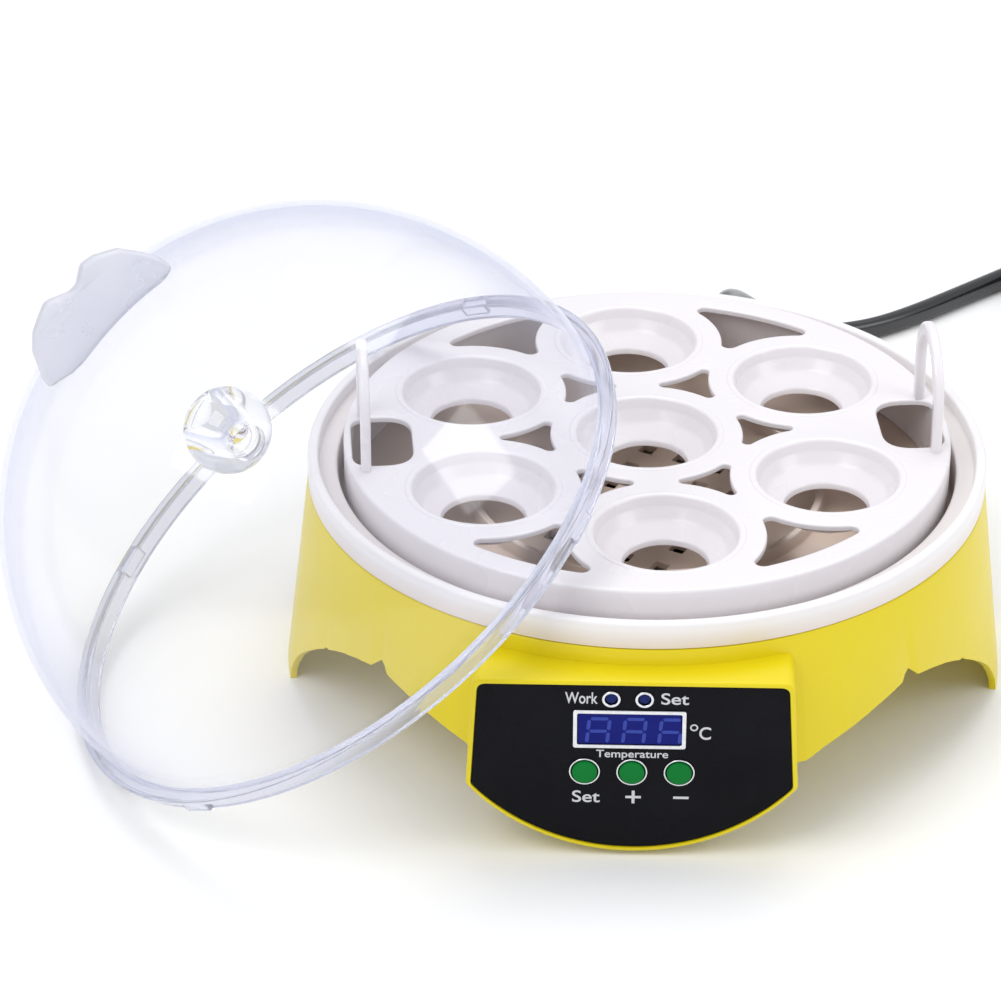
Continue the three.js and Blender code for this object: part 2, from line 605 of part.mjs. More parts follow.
// Profile of a dome of one radius, from its skirt's foot to the top of its axis.
function domeProfile(radius, foot) {
  const profile = [[radius, foot], [radius, DOME_RISE]];
  for (let i = 1; i <= DOME_ROWS; i += 1) {
    const angle = (Math.PI / 2) * (i / DOME_ROWS);
    profile.push([i === DOME_ROWS ? 0 : radius * Math.cos(angle), DOME_RISE + radius * Math.sin(angle)]);
  }
  return profile;
}

function ventAxis() {
  const bearing = radians(VENT_BEARING);
  const reach = DOME_RADIUS * Math.sin(radians(VENT_POLAR));
  return new THREE.Vector3(reach * Math.cos(bearing), reach * Math.sin(bearing),
    DOME_RISE + DOME_RADIUS * Math.cos(radians(VENT_POLAR)));
}

function ventBall(radius) {
  const place = ventAxis();
  const ball = new THREE.SphereGeometry(radius, VENT_FACETS.round, VENT_FACETS.rows);
  return solid(ball).translate(place.x, place.y, place.z);
}

function ventBore(radius) {
  const place = ventAxis();
  return disc(radius, -2 * VENT_BALL_RADIUS, 2 * VENT_BALL_RADIUS, SMALL)
    .rotate([0, BORE_POLAR, 0])
    .rotate([0, 0, BORE_BEARING])
    .translate(place.x, place.y, place.z);
}

// The comb's outline along its length and up: a rounded lobe on each side of a small notch.
function combOutline() {
  const half = COMB_LENGTH / 2;
  const top = DOME_RISE + DOME_RADIUS;
  const at = ([along, up]) => [along * half, top + up * COMB_HEIGHT];
  const shape = new THREE.Shape();
  shape.moveTo(-half, top - COMB_SINK);
  const shoulder = (share) => top + COMB_HEIGHT * share;
  shape.quadraticCurveTo(-half + COMB_END_LEAN, shoulder(COMB_SHOULDERS.left), ...at(COMB_LEFT_TOP));
  shape.quadraticCurveTo(...at(COMB_SADDLE), ...at(COMB_NOTCH));
  shape.lineTo(...at(COMB_RIGHT_TOP));
  shape.quadraticCurveTo(half - COMB_END_LEAN, shoulder(COMB_SHOULDERS.right), half, top - COMB_SINK);
  shape.closePath();
  return shape;
}

function domeLid() {
  const outer = domeProfile(DOME_RADIUS, FLANGE_HALF);
  const inner = domeProfile(DOME_RADIUS - DOME_WALL, -LIP_DROP).reverse();
  let lid = turned([
    ...outer, ...inner,
    [LIP_RADIUS, -LIP_DROP], [LIP_RADIUS, -FLANGE_HALF], [LID_RADIUS, -FLANGE_HALF],
    [LID_RADIUS, FLANGE_HALF], [DOME_RADIUS, FLANGE_HALF],
  ], FINE);
  for (const turn of LUG_TURNS) {
    const lug = box(LIP_RADIUS - LIP_WALL / 2, LID_RADIUS - SLIP_GAP, -LUG_HALF_WIDTH, LUG_HALF_WIDTH,
      -LIP_DROP + 1, -FLANGE_HALF / 2);
    lid = lid.add(lug.rotate([0, 0, turn]));
  }
  lid = lid.subtract(ventBall(VENT_BALL_RADIUS + SLIP_GAP));
  const comb = facing(combOutline(), COMB_THICKNESS / 2, -COMB_THICKNESS / 2, 5)
    .translate(COMB_SHIFT, 0, 0).rotate([0, 0, COMB_BEARING]);
  const underFoot = -LIP_DROP - 1;
  const under = turned([[0, underFoot], ...domeProfile(DOME_RADIUS - DOME_WALL / 2, underFoot)], MEDIUM);
  return lid.add(comb.subtract(under));
}

function placeLid() {
  const lean = radians(LID_LEAN);
  const foot = new THREE.Group();
  foot.position.set(LID_FOOT_X, LID_FOOT_Y, 0);
  foot.rotation.z = radians(LID_TURN);
  const leaning = new THREE.Group();
  leaning.rotation.y = -lean;
  const lid = new THREE.Group();
  lid.position.set(LIP_RADIUS, 0, LIP_DROP);
  leaning.add(lid);
  foot.add(leaning);
  incubator.add(foot);
  addPiece('dome_lid', domeLid(), CLEAR, lid);
  addPiece('vent_knob', ventBall(VENT_BALL_RADIUS).subtract(ventBore(VENT_BORE_RADIUS)), CLEAR, lid);
}

// ---- control panel ------------------------------------------------------------------------------------

const DISPLAY = { x: PANEL_CENTRE - 1, z: 51.3, width: 37.6, height: 15, rim: 1.4, proud: 0.7 };
const LED_RADIUS = 2;
const LED_RING_RADIUS = 3.1;
const LEDS = { work: PANEL_CENTRE - 7.2, set: PANEL_CENTRE + 3.8 };
const LED_HEIGHT = 63.2;
const LED_PROUD = 0.3;
const WINDOW_PROUD = 0.2;
const RING_RADIUS = 5.2;
const RING_PROUD = 0.8;
const BUTTON_PROUD = 1.9;
const BUTTON_TRAVEL = 0.6;
const BUTTONS = { set: PANEL_CENTRE - BUTTON_PITCH, plus: PANEL_CENTRE, minus: PANEL_CENTRE + BUTTON_PITCH };
const PANEL_BACK = PANEL_FRONT - PANEL_THICKNESS;
const BOARD_SETBACK = 7;         // panel's back to the control board's face
const CONTROL_BOARD_FRONT = PANEL_BACK - BOARD_SETBACK;
const STEM_RADIUS = 1.6;
const CAP_BACK = 0.5;            // the cap reaches this far behind the panel
const COLLAR = { reach: 1.2, thickness: 1 };
const MODULE_INSET = 1;
const SWITCH_SIZE = 6;
const SWITCH_DEPTH = 3.6;

function rectangle(x, z, width, height, corner = 0.8) {
  const corners = [[-1, -1], [1, -1], [1, 1], [-1, 1]];
  return rounded(corners.map(([sx, sz]) =>
    new THREE.Vector2(x + (sx * width) / 2, z + (sz * height) / 2)), corner);
}

function displayBlock(inset, front, back) {
  const { x, z, width, height } = DISPLAY;
  return facing(rectangle(x, z, width - 2 * inset, height - 2 * inset), front, back, 3);
}

function panelPlate() {
  let body = facing(panelOutline(0), PANEL_FRONT, PANEL_BACK);
  body = body.subtract(displayBlock(DISPLAY.rim, PANEL_FRONT + 1, PANEL_BACK - 1));
  for (const x of Object.values(LEDS)) {
    body = body.subtract(frontPin(x, LED_HEIGHT, LED_RADIUS + SLIP_GAP, PANEL_FRONT + 1, PANEL_BACK - 1));
  }
  for (const x of Object.values(BUTTONS)) {
    body = body.subtract(frontPin(x, BUTTON_HEIGHT_ON_PANEL, BUTTON_RADIUS + SLIP_GAP, PANEL_FRONT + 1,
      PANEL_BACK - 1));
  }
  return body;
}

function addDisplay() {
  const front = PANEL_FRONT + DISPLAY.proud;
  const opening = displayBlock(DISPLAY.rim + SLIP_GAP / 2, front + 1, PANEL_FRONT - 1);
  addPiece('display_frame', displayBlock(0, front, PANEL_FRONT).subtract(opening), SILVER);
  const window = displayBlock(DISPLAY.rim + SLIP_GAP, PANEL_FRONT + WINDOW_PROUD, PANEL_BACK);
  addPiece('display_window', window, BLUE);
  const module = displayBlock(MODULE_INSET, PANEL_BACK - SEAT_GAP, CONTROL_BOARD_FRONT + SEAT_GAP);
  addPiece('display_module', module, DARK_PLASTIC);
}

function addLed(name, x) {
  const bezel = frontPin(x, LED_HEIGHT, LED_RING_RADIUS, PANEL_FRONT + RING_PROUD, PANEL_FRONT)
    .subtract(frontPin(x, LED_HEIGHT, LED_RADIUS + SLIP_GAP / 2, PANEL_FRONT + 2, PANEL_FRONT - 1));
  addPiece(`led_ring_${name}`, bezel, SILVER);
  const lens = frontPin(x, LED_HEIGHT, LED_RADIUS, PANEL_FRONT + LED_PROUD, CONTROL_BOARD_FRONT + SEAT_GAP);
  addPiece(`led_${name}`, lens, BLUE);
}

function addButton(name, x) {
  const z = BUTTON_HEIGHT_ON_PANEL;
  const bore = frontPin(x, z, BUTTON_RADIUS + SLIP_GAP, PANEL_FRONT + 3, PANEL_FRONT - 1);
  addPiece(`button_ring_${name}`, frontPin(x, z, RING_RADIUS, PANEL_FRONT + RING_PROUD, PANEL_FRONT)
    .subtract(bore), SILVER);
  const switchFront = CONTROL_BOARD_FRONT + SWITCH_DEPTH;
  const cap = frontPin(x, z, BUTTON_RADIUS, PANEL_FRONT + BUTTON_PROUD, PANEL_BACK - CAP_BACK);
  const stem = frontPin(x, z, STEM_RADIUS, PANEL_BACK, switchFront + BUTTON_TRAVEL + SEAT_GAP, PIN_FACETS);
  const collarFront = PANEL_BACK - SEAT_GAP;
  const collar = frontPin(x, z, BUTTON_RADIUS + COLLAR.reach, collarFront, collarFront - COLLAR.thickness);
  addPiece(`button_${name}`, joined([cap, stem, collar]), GREEN);
  addPiece(`switch_${name}`, box(x - SWITCH_SIZE / 2, x + SWITCH_SIZE / 2, -switchFront,
    -CONTROL_BOARD_FRONT - SEAT_GAP, z - SWITCH_SIZE / 2, z + SWITCH_SIZE / 2), DARK_PLASTIC);
}

const CONTROL_BOARD = { width: 76, low: 30.5, high: 65.5 };
const BOARD_POSTS = [-1, 1];
const BOARD_POST = { radius: 2, inset: 4 };

function controlBoard() {
  const { width, low, high } = CONTROL_BOARD;
  const front = CONTROL_BOARD_FRONT;
  const board = box(PANEL_CENTRE - width / 2, PANEL_CENTRE + width / 2, -front, -front + BOARD_THICKNESS,
    low, high);
  const posts = BOARD_POSTS.map((side) => frontPin(PANEL_CENTRE + side * (width / 2 - BOARD_POST.inset),
    BUTTON_HEIGHT_ON_PANEL, BOARD_POST.radius, PANEL_BACK - SEAT_GAP, front - 1, PIN_FACETS));
  return joined([board, ...posts]);
}

function addPanel() {
  addPiece('control_panel', panelPlate(), BLACK_GLOSS);
  addDisplay();
  for (const [name, x] of Object.entries(LEDS)) {
    addLed(name, x);
  }
  for (const [name, x] of Object.entries(BUTTONS)) {
    addButton(name, x);
  }
  addPiece('control_board', controlBoard(), BOARD);
}

// ---- fan, heater, sensor and power board ----------------------------------------------------------------

const FAN_BORE_RADIUS = 23.5;
const FAN_HUB_RADIUS = 9;
const FAN_BASE = 1.6;
const FAN_SHAFT_RADIUS = 1.5;
const BLADE_COUNT = 7;
const BLADE_THICKNESS = 1.2;
const BLADE_PITCH = 38;
const BLADE_CLEARANCE = 1.2;
const BLADE_RADIUS = FAN_BORE_RADIUS - BLADE_CLEARANCE;
const BLADE_CHORD = 7.2;
const STRUT_TURNS = [0, 60, 120];
const STRUT_HALF_WIDTH = 1.2;
const STRUT_OVERLAP = 0.6;
const FAN_CORNER = 3;
const SHAFT_DROP = 3;            // fan's top to the shaft's end
const ROTOR_DROP = 1;            // fan's top to the rotor's top
const SHAFT_BORE_DROP = 2.5;

function fanFrame() {
  const half = FAN_SIZE / 2;
  let frame = plate(rounded([[-1, -1], [1, -1], [1, 1], [-1, 1]].map(([x, y]) =>
    new THREE.Vector2(x * half, y * half)), FAN_CORNER), FAN_LOW, FAN_TOP, 3);
  frame = frame.subtract(disc(FAN_BORE_RADIUS, FAN_LOW - 1, FAN_TOP + 1, MEDIUM));
  for (const turn of FAN_PIN_TURNS) {
    const place = polar(FAN_PIN_PITCH, turn);
    frame = frame.subtract(disc(FAN_PIN_RADIUS + SLIP_GAP, FAN_LOW - 1, FAN_TOP + 1, PIN_FACETS)
      .translate(place.x, place.y, 0));
  }
  const reach = FAN_BORE_RADIUS + STRUT_OVERLAP;
  const strut = box(-reach, reach, -STRUT_HALF_WIDTH, STRUT_HALF_WIDTH, FAN_LOW, FAN_LOW + FAN_BASE);
  const struts = STRUT_TURNS.map((turn) => strut.rotate([0, 0, turn]));
  const hub = disc(FAN_HUB_RADIUS, FAN_LOW, FAN_LOW + FAN_BASE, SMALL);
  const shaft = disc(FAN_SHAFT_RADIUS, FAN_LOW, FAN_TOP - SHAFT_DROP, PIN_FACETS);
  return joined([frame, ...struts, hub, shaft]);
}

function fanRotor() {
  const low = FAN_LOW + FAN_BASE + SEAT_GAP;
  const high = FAN_TOP - ROTOR_DROP;
  const middle = (low + high) / 2;
  const hub = disc(FAN_HUB_RADIUS, low, high, SMALL);
  const length = BLADE_RADIUS - FAN_HUB_RADIUS + 1;
  const blades = [];
  for (let i = 0; i < BLADE_COUNT; i += 1) {
    const blade = new THREE.BoxGeometry(length, BLADE_CHORD, BLADE_THICKNESS);
    blade.rotateX(radians(BLADE_PITCH)).translate(FAN_HUB_RADIUS - 1 + length / 2, 0, middle);
    blades.push(solid(blade.rotateZ(radians((360 * i) / BLADE_COUNT))));
  }
  const bore = disc(FAN_SHAFT_RADIUS + SLIP_GAP, low - 1, FAN_TOP - SHAFT_BORE_DROP, PIN_FACETS);
  return joined([hub, ...blades]).subtract(bore);
}

function heaterRing() {
  const { halfWidth, height } = HEATER_SECTION;
  return ring(HEATER_RADIUS - halfWidth, HEATER_RADIUS + halfWidth, HEATER_TOP - height, HEATER_TOP, MEDIUM);
}

const SENSOR = { radius: 2.5, length: 8, setback: 12, turn: 180 };

function sensor() {
  const place = polar(BASIN_RADIUS - SENSOR.setback, SENSOR.turn);
  const probe = disc(SENSOR.radius, FLOOR_UNDERSIDE - SENSOR.length, FLOOR_UNDERSIDE - SEAT_GAP, SMALL);
  return probe.translate(place.x, place.y, 0);
}

const BOARD_SINK = 0.6;          // parts are rooted this deep in the board
const TRANSFORMER = { x0: -24, x1: -4, halfDepth: 9, height: 10 };
const CAPACITOR = { x: 10, radius: 4, height: 9 };
const TERMINAL = { x0: 18, x1: 27, halfDepth: 8, height: 8 };

function powerBoard() {
  const low = COVER_TOP + POST_HEIGHT + SEAT_GAP;
  const { x, y, width, depth } = POWER_BOARD;
  const board = box(x - width / 2, x + width / 2, y - depth / 2, y + depth / 2, low, low + BOARD_THICKNESS);
  const root = low + BOARD_THICKNESS - BOARD_SINK;
  const block = (part) => box(x + part.x0, x + part.x1, y - part.halfDepth, y + part.halfDepth, root,
    low + part.height);
  const capacitor = disc(CAPACITOR.radius, root, low + CAPACITOR.height, SMALL)
    .translate(x + CAPACITOR.x, y, 0);
  return joined([board, block(TRANSFORMER), capacitor, block(TERMINAL)]);
}

// ---- mains lead ---------------------------------------------------------------------------------------

const GLAND_TIP = FOOT_RADIUS + 29; // base's axis to the tip of the strain relief
const RELIEF_STEPS = 5;
const GLAND_FLARE = 8;           // the collar clears the wall this far below the gland's axis
const GLAND_COLLAR = { radius: 7.4, edge: 6.6, flat: 3, height: 4 };
const RELIEF = { root: 6.4, taper: 1.3 };
const GLAND_ROOT = 3;            // the neck reaches this far inside the wall

function cordGland() {
  const wall = shellRadius(GLAND_HEIGHT - GLAND_FLARE);
  const root = wall - SHELL_WALL - GLAND_ROOT;
  const reliefStart = wall + GLAND_COLLAR.height;
  const profile = [
    [0, root], [GLAND_NECK_RADIUS, root], [GLAND_NECK_RADIUS, wall + SEAT_GAP],
    [GLAND_COLLAR.radius, wall + SEAT_GAP], [GLAND_COLLAR.radius, wall + GLAND_COLLAR.flat],
    [GLAND_COLLAR.edge, reliefStart],
  ];
  for (let i = 1; i <= RELIEF_STEPS; i += 1) {
    const part = i / RELIEF_STEPS;
    profile.push([RELIEF.root - RELIEF.taper * part, reliefStart + (GLAND_TIP - reliefStart) * part]);
  }
  profile.push([0, GLAND_TIP]);
  const points = profile.map(([radius, along]) => new THREE.Vector2(radius, along));
  const body = new THREE.LatheGeometry(points, SMALL).rotateZ(-Math.PI / 2).translate(0, 0, GLAND_HEIGHT);
  return solid(body.rotateZ(radians(GLAND_TURN)));
}

// The lead's middle line, from the strain relief's tip to the coil.
const CORD_POINTS = [
  [27.5, 155.9, 53.2], [30.8, 174.0, 51.5], [35.5, 190.5, 44.5], [42.5, 205.0, 33.0], [51.5, 217.5, 21.0],
  [63.0, 227.0, 11.0], [78.0, 234.5, 6.0], [96.0, 243.0, 4.8], [114.0, 256.0, 4.7], [132.0, 271.5, 4.7],
  [150.0, 287.3, 4.7], [162.2, 298.1, 4.7],
];
const CORD_SIDES = 10;
const CORD_STEPS = 22;
const COIL_CENTRE = new THREE.Vector2(226.8, 275.4);
const COIL_RADIUS = 50;          // middle of the turns
const COIL_HEIGHT = 18.6;
const COIL_HALF_WIDTH = 14;

function powerCord() {
  const points = CORD_POINTS.map(([x, y, z]) => new THREE.Vector3(x, y, z));
  const start = points[0].clone().add(points[1].clone().sub(points[0]).setLength(SEAT_GAP));
  points[0].copy(start);
  const path = new THREE.CatmullRomCurve3(points, false, 'centripetal');
  const section = new THREE.Shape();
  const radius = CORD_DIAMETER / 2;
  for (let i = 0; i < CORD_SIDES; i += 1) {
    const angle = (2 * Math.PI * i) / CORD_SIDES;
    const x = radius * Math.cos(angle);
    const y = radius * Math.sin(angle);
    if (i === 0) {
      section.moveTo(x, y);
    } else {
      section.lineTo(x, y);
    }
  }
  section.closePath();
  const settings = { extrudePath: path, steps: CORD_STEPS, bevelEnabled: false };
  return solid(new THREE.ExtrudeGeometry(section, settings));
}

function cordCoil() {
  return ring(COIL_RADIUS - COIL_HALF_WIDTH, COIL_RADIUS + COIL_HALF_WIDTH, 0, COIL_HEIGHT, FINE)
    .translate(COIL_CENTRE.x, COIL_CENTRE.y, 0);
}

const PLUG_LOW = 0.2;
const PLUG = { x: 286, y: 223.2, length: 34, width: 26, height: 16, corner: 3 };
const PLUG_TAIL = CORD_DIAMETER * 0.7;
const PIN_RADIUS = 2;
const PIN_LENGTH = 19;
const PIN_PITCH = 19;

// The plug lies flat beside the coil, its pins away from the coil.
function plugBody() {
  const { x, y, length, width, height } = PLUG;
  const outline = rounded([
    new THREE.Vector2(x - width / 2, y - length / 2), new THREE.Vector2(x + width / 2, y - length / 2),
    new THREE.Vector2(x + PLUG_TAIL, y + length / 2),
    new THREE.Vector2(x - PLUG_TAIL, y + length / 2),
  ], PLUG.corner);
  return plate(outline, PLUG_LOW, PLUG_LOW + height, 3);
}

function plugPin(side) {
  const { x, y, length, height } = PLUG;
  const from = y - length / 2 - SEAT_GAP;
  const pin = new THREE.CylinderGeometry(PIN_RADIUS, PIN_RADIUS, PIN_LENGTH, PIN_FACETS);
  return solid(pin.translate(x + (side * PIN_PITCH) / 2, from - PIN_LENGTH / 2, PLUG_LOW + height / 2));
}

// ---- assembly -----------------------------------------------------------------------------------------

addPiece('base_shell', baseShell(), YELLOW);
addPiece('liner', liner(), WHITE);
addPiece('bottom_cover', bottomCover(), YELLOW);
BOSS_TURNS.forEach((turn, i) => addPiece(`cover_screw_${i + 1}`, coverScrew(turn), STEEL));
addPiece('egg_tray', eggTray(), WHITE).rotation.z = radians(TRAY_TURN);
placeLid();
addPanel();
addPiece('fan_frame', fanFrame(), DARK_PLASTIC);
addPiece('fan_rotor', fanRotor(), DARK_PLASTIC);
addPiece('heater_ring', heaterRing(), CERAMIC);
addPiece('temperature_sensor', sensor(), STEEL);
addPiece('power_board', powerBoard(), BOARD);
addPiece('cord_gland', cordGland(), BLACK_RUBBER);
addPiece('power_cord', powerCord(), BLACK_RUBBER);
addPiece('cord_coil', cordCoil(), BLACK_RUBBER);
addPiece('plug_body', plugBody(), BLACK_RUBBER);
addPiece('plug_pin_a', plugPin(-1), BRASS);
addPiece('plug_pin_b', plugPin(1), BRASS);

export default incubator;
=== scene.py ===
"""The looks of a round seven-egg incubator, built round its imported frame.

Lengths are in millimetres until they are meshed, and angles are in degrees unless a name says otherwise.
"""
import logging
import math
from dataclasses import dataclass
from enum import Enum
from typing import Callable, Iterable, Sequence, Union

import bmesh
import bpy
from mathutils import Matrix, Vector


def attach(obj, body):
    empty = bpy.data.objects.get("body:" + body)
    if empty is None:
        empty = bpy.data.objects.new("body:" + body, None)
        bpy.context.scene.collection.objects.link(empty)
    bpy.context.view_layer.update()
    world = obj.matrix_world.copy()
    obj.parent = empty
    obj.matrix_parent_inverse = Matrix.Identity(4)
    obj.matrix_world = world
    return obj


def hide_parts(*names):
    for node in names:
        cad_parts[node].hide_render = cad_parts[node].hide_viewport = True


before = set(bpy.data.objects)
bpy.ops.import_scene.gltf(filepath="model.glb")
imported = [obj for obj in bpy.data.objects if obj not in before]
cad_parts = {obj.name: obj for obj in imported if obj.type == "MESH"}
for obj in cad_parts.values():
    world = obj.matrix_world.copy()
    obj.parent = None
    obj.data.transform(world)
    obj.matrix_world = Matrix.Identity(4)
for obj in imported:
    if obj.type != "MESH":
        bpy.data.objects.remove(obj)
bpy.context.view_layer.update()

MM = 0.001

Point2 = tuple[float, float]
Point3 = tuple[float, float, float]
Colour = tuple[float, float, float]
Number = Union[float, "Signal"]

log = logging.getLogger("egg_incubator")


# ---------------------------------------------------------------------------------------- shader writing


class Signal:
    """A value socket that can be used in Python arithmetic."""

    def __init__(self, shader: "Shader", socket: bpy.types.NodeSocket) -> None:
        """Wraps a socket of a shader's node."""
        self.shader = shader
        self.socket = socket

    def _math(self, operation: str, first: Number, second: Number) -> "Signal":
        """Adds a Math node and returns its result."""
        node = self.shader.node("ShaderNodeMath", {"operation": operation}, {0: first, 1: second})
        return Signal(self.shader, node.outputs[0])

    def __add__(self, other: Number) -> "Signal":
        """self + other."""
        return self._math("ADD", self, other)

    def __radd__(self, other: Number) -> "Signal":
        """other + self."""
        return self._math("ADD", other, self)

    def __sub__(self, other: Number) -> "Signal":
        """self - other."""
        return self._math("SUBTRACT", self, other)

    def __rsub__(self, other: Number) -> "Signal":
        """other - self."""
        return self._math("SUBTRACT", other, self)

    def __mul__(self, other: Number) -> "Signal":
        """self * other."""
        return self._math("MULTIPLY", self, other)

    def __rmul__(self, other: Number) -> "Signal":
        """other * self."""
        return self._math("MULTIPLY", other, self)

    def __pow__(self, other: Number) -> "Signal":
        """self to a power."""
        return self._math("POWER", self, other)

    def __rpow__(self, other: Number) -> "Signal":
        """other to the power of self."""
        return self._math("POWER", other, self)

    def clamped(self) -> "Signal":
        """self kept between 0 and 1."""
        low = self._math("MAXIMUM", self, 0.0)
        return low._math("MINIMUM", low, 1.0)


class Shader:
    """One material's node tree, written from the output backwards."""

    def __init__(self, name: str) -> None:
        """Starts an empty material of that name.

        Args:
            name: the material's name.
        """
        self.material = bpy.data.materials.new(name)
        self.material.use_nodes = True
        self.tree = self.material.node_tree
        self.tree.nodes.clear()
        self.output = self.node("ShaderNodeOutputMaterial")

    def node(self, kind: str, settings: dict | None = None, inputs: dict | None = None) -> bpy.types.Node:
        """Adds a node.

        Args:
            kind: the node's type.
            settings: attributes set first.
            inputs: socket name or index to a number, colour, Signal or socket.

        Returns:
            The new node.
        """
        made = self.tree.nodes.new(kind)
        for key, value in (settings or {}).items():
            setattr(made, key, value)
        for key, value in (inputs or {}).items():
            if isinstance(value, Signal):
                self.tree.links.new(value.socket, made.inputs[key])
            elif isinstance(value, bpy.types.NodeSocket):
                self.tree.links.new(value, made.inputs[key])
            else:
                made.inputs[key].default_value = value
        return made

    def place(self) -> bpy.types.NodeSocket:
        """The surface's place on the object, in metres."""
        return self.node("ShaderNodeTexCoord").outputs["Object"]

    def noise(self, scale: float, detail: float = 3.0) -> Signal:
        """Soft noise from 0 to 1.

        Args:
            scale: how many features there are to the metre.
            detail: how many finer layers it has.

        Returns:
            The noise's value.
        """
        inputs = {"Vector": self.place(), "Scale": scale, "Detail": detail}
        made = self.node("ShaderNodeTexNoise", None, inputs)
        return Signal(self, made.outputs["Fac"])

    def height(self) -> Signal:
        """Height above the table, in metres."""
        split = self.node("ShaderNodeSeparateXYZ", None, {0: self.place()})
        return Signal(self, split.outputs["Z"])

    def facing(self, blend: float) -> Signal:
        """0 where the surface faces the eye and 1 where it turns away."""
        made = self.node("ShaderNodeLayerWeight", None, {"Blend": blend})
        return Signal(self, made.outputs["Facing"])

    def mix_colours(self, factor: Number, first: Colour, second: Colour) -> bpy.types.NodeSocket:
        """A blend of two colours.

        Args:
            factor: 0 for the first colour and 1 for the second.
            first: the first colour.
            second: the second colour.

        Returns:
            The blended colour's socket.
        """
        inputs = {0: factor, 6: (*first, 1.0), 7: (*second, 1.0)}
        made = self.node("ShaderNodeMix", {"data_type": "RGBA"}, inputs)
        return made.outputs[2]

    def bump(self, height: Signal, strength: float, distance: float) -> bpy.types.NodeSocket:
        """A normal bent by a height field.

        Args:
            height: the height field.
            strength: how much of the bend is used.
            distance: the height of a full step, in metres.

        Returns:
            The normal's socket.
        """
        inputs = {"Height": height, "Strength": strength, "Distance": distance}
        made = self.node("ShaderNodeBump", None, inputs)
        return made.outputs["Normal"]

    def finish(self, surface: bpy.types.NodeSocket) -> bpy.types.Material:
        """Joins the surface to the output and returns the material."""
        self.tree.links.new(surface, self.output.inputs["Surface"])
        return self.material


# ---------------------------------------------------------------------------------------------- finishes


MOTTLE_SCALE = 28.0         # features to the metre of the mottle in moulded plastic
PEEL_SCALE = 900.0          # and of its orange peel
PEEL_DEPTH = 0.0002         # metres
FINE_DETAIL = 2.0           # noise layers that are enough for something this fine
COAT_ROUGHNESS = 0.12
CLEAR_IOR = 1.47


@dataclass(frozen=True)
class MouldedPlastic:
    """Injection-moulded plastic with a faint mottle, soft wear in its gloss and a fine orange peel."""

    name: str
    colour: Colour
    deep: Colour
    roughness: float = 0.3
    coat: float = 0.3
    peel: float = 0.06
    specular: float = 0.5
    mottle: float = 0.55
    wear: float = 0.14

    def material(self) -> bpy.types.Material:
        """Makes the material.

        Returns:
            The finished material.
        """
        shader = Shader(self.name)
        cloud = shader.noise(MOTTLE_SCALE)
        speck = shader.noise(PEEL_SCALE, FINE_DETAIL)
        body = shader.node("ShaderNodeBsdfPrincipled", None, {
            "Base Color": shader.mix_colours(cloud * self.mottle, self.colour, self.deep),
            "Roughness": cloud * self.wear + (self.roughness - 0.05),
            "Normal": shader.bump(speck, self.peel, PEEL_DEPTH),
            "Coat Weight": self.coat,
            "Coat Roughness": COAT_ROUGHNESS,
            "Specular IOR Level": self.specular,
        })
        return shader.finish(body.outputs[0])


@dataclass(frozen=True)
class LinerPlasticWithPaintedShade:
    """White plastic painted darker and warmer below its rim: painted shade in the basin and a painted warm
    glow of the yellow shell through the wall.
    """

    name: str
    colour: Colour
    # The second colour is painted shade and painted warm glow, reached at the basin's floor.
    painted_shade_colour: Colour
    rim: float
    floor: float
    roughness: float = 0.24
    wear: float = 0.12
    coat: float = 0.3
    peel: float = 0.05
    fade: float = 0.7

    def material(self) -> bpy.types.Material:
        """Makes the material.

        Returns:
            The finished material.
        """
        shader = Shader(self.name)
        cloud = shader.noise(30.0)
        # Painted shade: the colour turns darker and warmer from the rim down to the floor, standing in for
        # shade and for the yellow shell's glow through the wall.
        depth = ((self.rim - shader.height()) * (1.0 / (self.rim - self.floor))).clamped()
        body = shader.node("ShaderNodeBsdfPrincipled", None, {
            "Base Color": shader.mix_colours(depth ** self.fade, self.colour, self.painted_shade_colour),
            "Roughness": cloud * self.wear + self.roughness,
            "Normal": shader.bump(shader.noise(PEEL_SCALE, FINE_DETAIL), self.peel, PEEL_DEPTH),
            "Coat Weight": self.coat,
            "Coat Roughness": COAT_ROUGHNESS,
        })
        return shader.finish(body.outputs[0])


@dataclass(frozen=True)
class ClearWall:
    """A thin clear moulded wall: sharp reflections, clear in the middle and milky where seen edge on."""

    name: str
    tint: Colour
    edge: Colour
    milk: float = 0.62
    shine: float = 0.55
    falloff: float = 5.0
    least_mirror: float = 0.035
    streak: float = 0.02

    def material(self) -> bpy.types.Material:
        """Makes the material.

        Returns:
            The finished material.
        """
        shader = Shader(self.name)
        clear = shader.node("ShaderNodeBsdfTransparent", None, {"Color": (*self.tint, 1.0)})
        gloss = shader.node("ShaderNodeBsdfGlossy", None, {"Color": (1.0, 1.0, 1.0, 1.0), "Roughness": 0.07})
        turned_away = shader.facing(0.5)
        mirror = (turned_away ** self.falloff * self.shine + self.least_mirror).clamped()
        glazed = shader.node("ShaderNodeMixShader", None, {
            0: mirror, 1: clear.outputs[0], 2: gloss.outputs[0]})
        milk = shader.node("ShaderNodeBsdfPrincipled", None, {
            "Base Color": (*self.edge, 1.0), "Roughness": 0.08})
        streak = shader.noise(40.0)
        share = (turned_away ** self.falloff * self.milk + streak * self.streak).clamped()
        whole = shader.node("ShaderNodeMixShader", None, {
            0: share, 1: glazed.outputs[0], 2: milk.outputs[0]})
        return shader.finish(whole.outputs[0])


